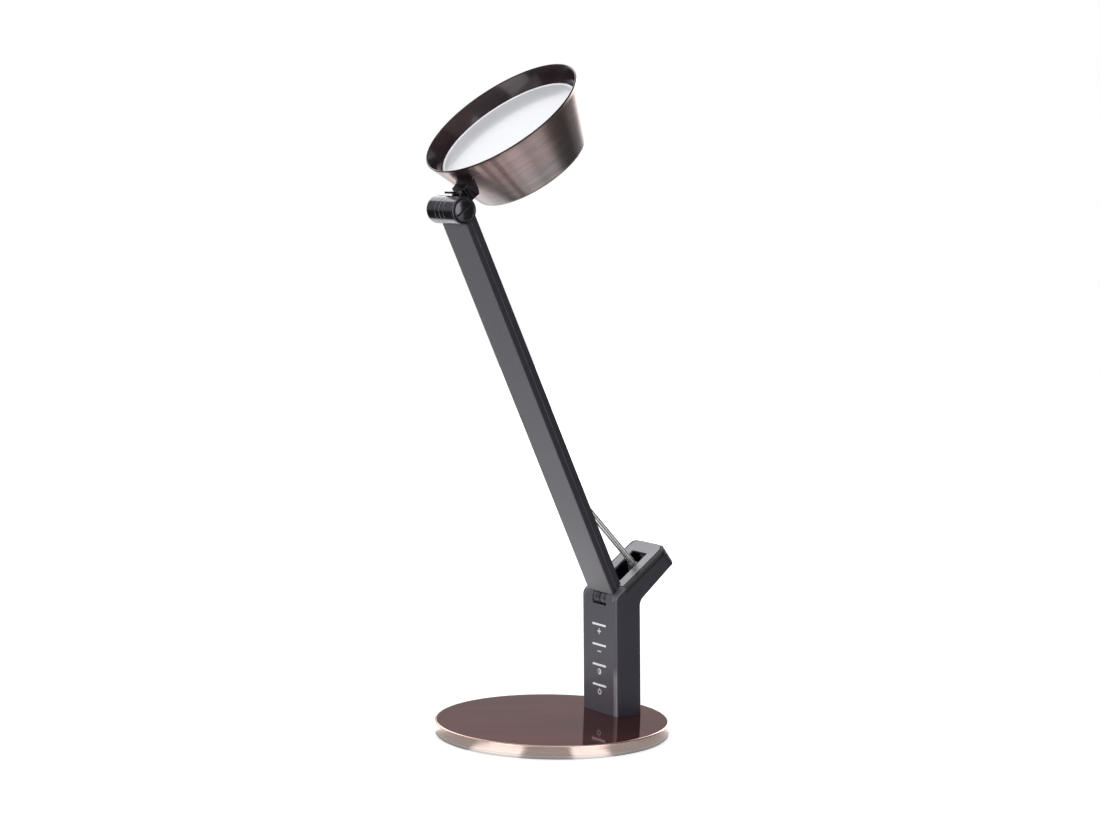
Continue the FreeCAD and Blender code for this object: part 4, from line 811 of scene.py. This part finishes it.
screwSets = {
    "cover_screws": {"body": "stand", "slot": "black_steel", "place": rearFace, "shank": (1.25, 20.9),
                     "head": (2.2, 1.2), "seed": 3,
                     "at": [(x, down, 17.0) for x in (-16.6, 16.6) for down in (18.0, 68.0)]},
    "arm_screws": {"body": "arm", "slot": "black_steel", "place": armBack, "shank": (1.25, 6.9),
                   "head": (2.3, 0.9), "seed": 5,
                   "at": [(x, -up, 7.54) for x in (-9.0, 9.0) for up in (25.0, 313.6)]},
    "bottom_plate_screws": {"body": "stand", "slot": "steel", "place": underside, "shank": (1.5, 7.1),
                            "head": (2.8, 1.4), "seed": 8,
                            "at": [(plateRing * math.cos(math.radians(a)),
                                    plateRing * math.sin(math.radians(a)), -0.7)
                                   for a in (45, 135, 225, 315)]},
}

screwFinish = {"black_steel": finishes["blackSteel"], "steel": finishes["zincSteel"]}
slottedScrews = screwTree()
for screwNode, d in screwSets.items():
    (shankR, shankL), (headR, headH) = d["shank"], d["head"]
    made = grownPiece("grown." + screwNode, slottedScrews, {
        "Shank Radius": shankR * mm, "Shank Length": shankL * mm, "Head Radius": headR * mm,
        "Head Height": headH * mm, "Seed": d["seed"], "Finish": screwFinish[d["slot"]]}, d["at"], d["place"])
    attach(made, d["body"])
    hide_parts(screwNode)
print("screws made")

chipSet = {"rings": ((18.0, 8), (34.0, 16)), "size": 3.0, "height": 0.8, "low": -5.92}

chips = grownPiece("ledChips", chipTree(), {
    "Inner Radius": chipSet["rings"][0][0] * mm, "Inner Count": chipSet["rings"][0][1],
    "Outer Radius": chipSet["rings"][1][0] * mm, "Outer Count": chipSet["rings"][1][1],
    "Chip Size": chipSet["size"] * mm, "Chip Height": chipSet["height"] * mm,
    "Package": finishes["mouldedWhite"], "Phosphor": finishes["phosphor"]}, [(0, 0, 0)],
    shadePlace @ Matrix.Translation((0, 0, (chipSet["low"] + chipSet["height"] / 2) * mm)))
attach(chips, "head")
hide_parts("led_chips")
print("light chips made")


# Finishes for the nodes that keep their CAD shape

def lightBarMaterial():
    mat, tree, shader = newMaterial("lightBarAcrylic")
    streaks = noiseOf(tree, objectPoints(tree, (2600.0, 300.0, 300.0)), detail=4.0)
    feed(tree, shader, Base_Color=tonesOf(tree, streaks, ((0.80, 0.80, 0.82), (0.95, 0.95, 0.97)), 0.3, 0.6),
         Emission_Color=(0.9, 0.92, 1.0, 1.0), Emission_Strength=0.12,
         Roughness=rangeOf(tree, streaks, 0.2, 0.35))
    return mat


def circuitBoardMaterial(name, base, trace):
    mat, tree, shader = newMaterial(name)
    cells = addNode(tree, "ShaderNodeTexVoronoi", Scale=400.0, Vector=objectPoints(tree, (1.0, 1.0, 1.0)))
    cells.feature = "DISTANCE_TO_EDGE"
    fine = noiseOf(tree, objectPoints(tree, (1200.0,) * 3))
    feed(tree, shader, Base_Color=tonesOf(tree, cells.outputs["Distance"], (trace, base), 0.03, 0.08),
         Roughness=rangeOf(tree, fine, 0.3, 0.45), Normal=bumpOf(tree, fine, 0.00001))
    return mat


def greysOf(tree, value, stops):
    return rampOf(tree, value, [(at, (grey,) * 3) for at, grey in stops])


def lowerBandMaterial():
    # satin metal over the 3 mm under the rim, with painted shade as dark lines under the rim and at the
    # floor, lighter in its upper part
    mat, tree, shader = newMaterial("satinBand")
    level = rangeOf(tree, axisOf(tree, objectPoints(tree, inMm), "Z"), 0.0, 1.0, 0.0, 3.0)
    fine = noiseOf(tree, objectPoints(tree, (60.0, 60.0, 4000.0)), detail=5.0)
    metal = tonesOf(tree, fine, ((0.46, 0.43, 0.42), (0.58, 0.54, 0.52)))
    paintedShadeLines = greysOf(tree, level, ((0.0, 0.40), (0.14, 0.40), (0.18, 0.72), (0.56, 0.72), (0.60, 1.0),
                                  (0.88, 1.0), (0.93, 0.25)))
    feed(tree, shader, Base_Color=mixed(tree, 1.0, metal, paintedShadeLines, "MULTIPLY"), Metallic=0.85,
         Roughness=rangeOf(tree, fine, 0.28, 0.38), Normal=bumpOf(tree, fine, 0.000006))
    return mat


stayPlace = tiltedPlace(44.113, 75.447, 124.525)   # Z along the stay, origin on its foot pin
stayBar = {"halfFoot": 1.7, "halfTip": 1.5, "length": 99.8}


def stayBarMaterial(name, sides):
    # bright narrow edges; each broad side has a painted shadow line near both its borders
    mat, tree, shader = newMaterial(name)
    points = objectPoints(tree, inMm, stayPlace)
    coords = tree.nodes.new("ShaderNodeTexCoord")
    broad = rangeOf(tree, acrossOf(tree, coords.outputs["Normal"]), 0.0, 1.0, 0.5, 0.8)
    depth = mathOf(tree, "ABSOLUTE", axisOf(tree, points, "Y"))
    half = rangeOf(tree, axisOf(tree, points, "Z"), stayBar["halfFoot"], stayBar["halfTip"], 0.0,
                   stayBar["length"])
    streaks = noiseOf(tree, objectPoints(tree, (3000.0, 3000.0, 60.0), stayPlace), detail=3.0)
    low, high = sides
    paintedShadePanel = greysOf(tree, mathOf(tree, "DIVIDE", depth, half),
                    ((0.0, low), (0.34, high), (0.40, 0.04), (0.72, 0.04), (0.78, 0.95)))
    tone = mixed(tree, broad, tonesOf(tree, streaks, ((0.80,) * 3, (0.95,) * 3)), paintedShadePanel)
    feed(tree, shader, Base_Color=tone, Roughness=rangeOf(tree, streaks, 0.16, 0.26), Metallic=0.5,
         Normal=bumpOf(tree, streaks, 0.000005, softEdge(tree, 0.0002)))
    return mat


def knuckleMaterial():
    # dark metal with two painted highlight lines in the notch
    mat, tree, shader = newMaterial("knuckleMetal")
    across = axisOf(tree, objectPoints(tree, inMm), "X")
    fine = noiseOf(tree, objectPoints(tree, plainGrain), detail=2.0)
    ribHighlights = mathOf(tree, "MAXIMUM", bandOf(tree, across, 2.9, 3.4, 0.1), bandOf(tree, across, -6.8, -6.5, 0.1))
    dark = tonesOf(tree, fine, ((0.050, 0.048, 0.062), (0.066, 0.064, 0.080)))
    bright = tonesOf(tree, fine, ((0.26, 0.25, 0.27), (0.40, 0.39, 0.41)))
    feed(tree, shader, Base_Color=mixed(tree, ribHighlights, dark, bright), Metallic=0.3,
         Roughness=rangeOf(tree, fine, 0.3, 0.4),
         Normal=bumpOf(tree, fine, 0.000005, softEdge(tree, 0.0004)))
    return mat


# the slope edge line, the foot strip and the cheek lines are painted highlights
columnExtras = ((slopeMask, ((0.0060, 0.0056, 0.0090), (0.0080, 0.0076, 0.0115))),
                (slopeEdgeHighlightMask, ((0.045, 0.043, 0.055), (0.065, 0.062, 0.075))),
                (paintedFootHighlightMask, ((0.27, 0.26, 0.285), (0.34, 0.33, 0.355))),
                (cheekHighlightMask, ((0.24, 0.235, 0.255), (0.42, 0.415, 0.44))))

finishes.update({
    "satinGreyFront": twoToneShell("satinGreyFront", columnPlace, 22.3,
                                   ((0.120, 0.117, 0.140), (0.134, 0.131, 0.154)),
                                   ((0.0205, 0.0192, 0.030), (0.025, 0.0237, 0.0355)), (0.32, 0.42),
                                   extras=columnExtras),
    "satinGreyArm": twoToneShell("satinGreyArm", armPlace, 16.45,
                                 ((0.132, 0.128, 0.144), (0.148, 0.144, 0.160)),
                                 ((0.0112, 0.0106, 0.0175), (0.0145, 0.0139, 0.0215)), (0.34, 0.44),
                                 edge=0.0004,
                                 extras=((armSeamHighlightMask, ((0.05, 0.048, 0.058), (0.10, 0.097, 0.11))),)),
    "barNickel": stayBarMaterial("barNickel", (0.85, 0.97)),
    # the left bar's copy is darker: painted shade
    "barNickelPaintedShade": stayBarMaterial("barNickelPaintedShade", (0.70, 0.90)),
    "satinBand": lowerBandMaterial(),
    "knuckleMetal": knuckleMaterial(),
    "greenBoard": circuitBoardMaterial("greenBoard", (0.012, 0.07, 0.03), (0.03, 0.13, 0.06)),
    "whiteBoard": circuitBoardMaterial("whiteBoard", (0.72, 0.72, 0.70), (0.62, 0.62, 0.60)),
    "lightBarAcrylic": lightBarMaterial(),
})

nodeFinish = {
    "base_weight": "castIron", "base_bottom_plate": "satinBand", "non_slip_sheet": "foamRubber",
    "column_screws": "zincSteel", "column_front_cover": "satinGreyFront",
    "column_rear_shell": "darkShell", "slot_trim_plate": "silverTrim", "key_light_bars": "lightBarAcrylic",
    "touch_board": "greenBoard", "touch_pads": "brassPad", "board_screws": "zincSteel",
    "driver_board": "greenBoard", "power_jack": "mouldedBlack",
    "hinge_frame": "zincSteel", "hinge_frame_screws": "zincSteel", "hinge_pin": "zincSteel",
    "hinge_washers": "mouldedWhite", "stay_bracket": "slotLiningPaintedGlow", "stay_bracket_screws": "zincSteel",
    "stay_foot_pin": "zincSteel", "arm_knuckle": "knuckleMetal", "arm_front_shell": "satinGreyArm",
    "arm_rear_shell": "darkArmBack", "stay_guide": "zincSteel",
    "stay_bar_left": "barNickelPaintedShade", "stay_bar_right": "barNickel", "stay_spacer": "barNickel",
    "stay_slider_pin": "zincSteel", "joint_yoke": "jointBlack", "joint_bolt": "zincSteel",
    "joint_nut": "zincSteel", "joint_friction_rings": "mouldedWhite",
    "head_neck": "jointBlack", "head_saddle": "jointBlack", "saddle_screws": "blackSteel",
    "lamp_tray": "mouldedWhite", "led_board": "whiteBoard",
    "heat_plate": "plainAluminium", "head_screws": "zincSteel",
}

for nodeName, finish in nodeFinish.items():
    nodes[nodeName].data.materials.clear()
    addMaterials(nodes[nodeName], finishes[finish])
print("finishes set on", len(nodeFinish), "nodes")


# Studio: a pale floor, four tall softboxes round it, and the darker room that polished surfaces mirror

studio = {"floorHalf": 2.6, "lampRadius": 2.3, "turnZero": 55.0, "worldLight": 0.55, "floorGlow": 0.42,
          "glowFrom": 0.25, "glowTo": 1.0, "backCorner": (116, 190), "cornerGrey": 0.06, "stripesFrom": 164,
          "horizon": (-0.18, 0.02), "upperRoom": (0.75, 0.90)}

softboxes = {
    "leftLamp": {"turn": -97, "halfTurn": 20, "low": 0.6, "high": 2.4, "level": 2.0},
    "frontLamp": {"turn": 11, "halfTurn": 16, "low": 0.0, "high": 1.6, "level": 2.2},
    "rightLamp": {"turn": 92, "halfTurn": 18, "low": 0.0, "high": 1.6, "level": 2.2},
    "backLamp": {"turn": 212.5, "halfTurn": 16, "low": 0.0, "high": 1.3, "level": 3.0},
}
topLamp = {"size": 1.2, "height": 2.6, "level": 1.6}

# What polished surfaces mirror from the floor: rings round the lamp out to a distance in metres,
# each with patches of light between two turns in degrees
floorRings = [
    {"to": 0.14, "blend": 0.03, "base": 0.6,
     "patches": ((-66, -34, 2.1), (10, 39, 2.1), (66, 86, 2.1), (149, 180, 1.5))},
    {"to": 0.32, "blend": 0.05, "base": 0.55,
     "patches": ((-112, -82, 2.3), (-81, -66, 0.10), (-60, -40, 1.10), (80, 122, 1.2))},
    {"to": 0.62, "blend": 0.28, "base": 0.5,
     "patches": ((-106, -78, 1.9), (-74, -20, 0.10), (76, 150, 0.72))},
    {"to": 3.00, "blend": 0.10, "base": 0.8,
     "patches": ((-106, -78, 1.4), (-74, -20, 0.06), (118, 189, 0.10))},
]


def turnOf(tree):
    coords = tree.nodes.new("ShaderNodeTexCoord")
    turned = addNode(tree, "ShaderNodeMapping", Vector=coords.outputs["Object"],
                     Rotation=(0, 0, math.radians(-studio["turnZero"]))).outputs["Vector"]
    back = productOf(tree, axisOf(tree, turned, "Y"), -1.0)
    angle = mathOf(tree, "ARCTAN2", axisOf(tree, turned, "X"), back)
    return rangeOf(tree, angle, 0.0, 1.0, -math.pi, math.pi)


def turnStops(base, patches, soft=0.8):
    stops = [(0.0, base)]
    for start, end, level in sorted(patches):
        edges = ((start - soft, base), (start + soft, level), (end - soft, level), (end + soft, base))
        stops += [((degrees - studio["turnZero"]) / 360 + 0.5, value) for degrees, value in edges]
    return stops


def distanceOf(tree):
    coords = tree.nodes.new("ShaderNodeTexCoord")
    length = tree.nodes.new("ShaderNodeVectorMath")
    length.operation = "LENGTH"
    tree.links.new(coords.outputs["Object"], length.inputs[0])
    return length.outputs["Value"]


def floorMaterial():
    mat, tree, shader = newMaterial("paleFloor")
    path = tree.nodes.new("ShaderNodeLightPath").outputs
    away = distanceOf(tree)
    glow = rangeOf(tree, away, studio["floorGlow"], 1.0, studio["glowFrom"], studio["glowTo"])
    feed(tree, shader, Base_Color=(0.9, 0.9, 0.9, 1), Roughness=0.9, Specular_IOR_Level=0.0,
         Emission_Color=(1, 1, 1, 1), Emission_Strength=productOf(tree, glow, path["Is Camera Ray"]))
    turn = turnOf(tree)
    pattern = greysOf(tree, turn, turnStops(floorRings[0]["base"], floorRings[0]["patches"]))
    for inner, outer in zip(floorRings, floorRings[1:]):
        outside = rangeOf(tree, away, 0.0, 1.0, inner["to"], inner["to"] + inner["blend"])
        ring = greysOf(tree, turn, turnStops(outer["base"], outer["patches"]))
        pattern = mixed(tree, outside, pattern, ring)
    mirrored = addNode(tree, "ShaderNodeEmission", Color=pattern)
    choose = addNode(tree, "ShaderNodeMixShader", Fac=path["Is Glossy Ray"])
    tree.links.new(shader.outputs["BSDF"], choose.inputs[1])
    tree.links.new(mirrored.outputs["Emission"], choose.inputs[2])
    out = next(n for n in tree.nodes if n.bl_idname == "ShaderNodeOutputMaterial")
    feed(tree, out, Surface=choose.outputs["Shader"])
    return mat


def buildFloor():
    mesh = bpy.data.meshes.new("floor")
    half = studio["floorHalf"]
    corners = [(-half, -half, 0), (half, -half, 0), (half, half, 0), (-half, half, 0)]
    mesh.from_pydata(corners, [], [(0, 1, 2, 3)])
    obj = addObject("floor", mesh)
    addMaterials(obj, floorMaterial())


# White for the camera; for polished surfaces a grey room with darker stripes just under the horizon

horizonStops = ((0.0, 0.12), (0.15, 0.20), (0.26, 0.06), (0.36, 0.06), (0.43, 0.38), (0.60, 0.38),
                (0.72, 0.15), (0.80, 0.20), (0.90, 0.50))


def buildWorld():
    world = bpy.data.worlds.new("studioWorld")
    bpy.context.scene.world = world
    world.use_nodes = True
    tree = world.node_tree
    tree.nodes.clear()
    path = tree.nodes.new("ShaderNodeLightPath").outputs
    coords = tree.nodes.new("ShaderNodeTexCoord")
    rise = axisOf(tree, coords.outputs["Generated"], "Z")
    level = rangeOf(tree, rise, 0.0, 1.0, *studio["horizon"])
    start, end = studio["backCorner"]
    corner = greysOf(tree, turnOf(tree), turnStops(0.0, ((start, end, 1.0),)))
    plain = greysOf(tree, turnOf(tree), turnStops(0.0, ((start, studio["stripesFrom"], 1.0),)))
    above = rangeOf(tree, level, 0.0, 1.0, *studio["upperRoom"])
    corner = productOf(tree, corner, mathOf(tree, "MAXIMUM", above, plain))
    room = mixed(tree, corner, greysOf(tree, level, horizonStops), (studio["cornerGrey"],) * 3 + (1,))
    straight = mathOf(tree, "MAXIMUM", path["Is Camera Ray"], path["Is Transmission Ray"])
    seen = mixed(tree, straight, (studio["worldLight"],) * 3 + (1,), (1, 1, 1, 1))
    back = addNode(tree, "ShaderNodeBackground", Color=mixed(tree, path["Is Glossy Ray"], seen, room))
    addNode(tree, "ShaderNodeOutputWorld", Surface=back.outputs["Background"])


def softbox(name, lamp):
    radius = studio["lampRadius"]
    turn = math.radians(lamp["turn"])
    width = 2 * radius * math.tan(math.radians(lamp["halfTurn"]))
    height = lamp["high"] - lamp["low"]
    light = bpy.data.lights.new(name, "AREA")
    light.shape = "RECTANGLE"
    light.size, light.size_y = width, height
    light.energy = lamp["level"] * math.pi * width * height
    obj = addObject(name, light)
    obj.location = (radius * math.sin(turn), -radius * math.cos(turn), (lamp["low"] + lamp["high"]) / 2)
    obj.rotation_euler = (math.radians(90), 0, turn)
    obj.visible_camera = False


def topLight(lamp):
    light = bpy.data.lights.new("topLamp", "AREA")
    light.size = lamp["size"]
    light.energy = lamp["level"] * math.pi * lamp["size"] * lamp["size"]
    obj = addObject("topLamp", light)
    obj.location = (0, 0, lamp["height"])
    obj.visible_camera = False


buildFloor()
buildWorld()
for lampName, lampValues in softboxes.items():
    softbox(lampName, lampValues)
topLight(topLamp)


cameraSetup = {"azimuth": 55.1, "down": 6.12, "roll": 0.82, "at": (1.63440, -1.14617, 0.46137), "lens": 86.69,
               "sensor": 36.0, "clipEnd": 50.0}


def buildCamera():
    d = cameraSetup
    az, down, roll = (math.radians(d[k]) for k in ("azimuth", "down", "roll"))
    forward = Vector((-math.sin(az), math.cos(az), 0))
    right = Vector((math.cos(az), math.sin(az), 0))
    look = forward * math.cos(down) - Vector((0, 0, 1)) * math.sin(down)
    up = forward * math.sin(down) + Vector((0, 0, 1)) * math.cos(down)
    right2 = right * math.cos(roll) + up * math.sin(roll)
    up2 = up * math.cos(roll) - right * math.sin(roll)
    lens = bpy.data.cameras.new("camera")
    lens.lens = d["lens"]
    lens.sensor_width = d["sensor"]
    lens.clip_end = d["clipEnd"]
    obj = addObject("camera", lens)
    turn = Matrix((right2, up2, -look)).transposed().to_4x4()
    obj.matrix_world = Matrix.Translation(d["at"]) @ turn
    bpy.context.scene.camera = obj


buildCamera()
bpy.context.scene.view_settings.view_transform = "Standard"
print("studio and camera set")

bpy.context.view_layer.update()
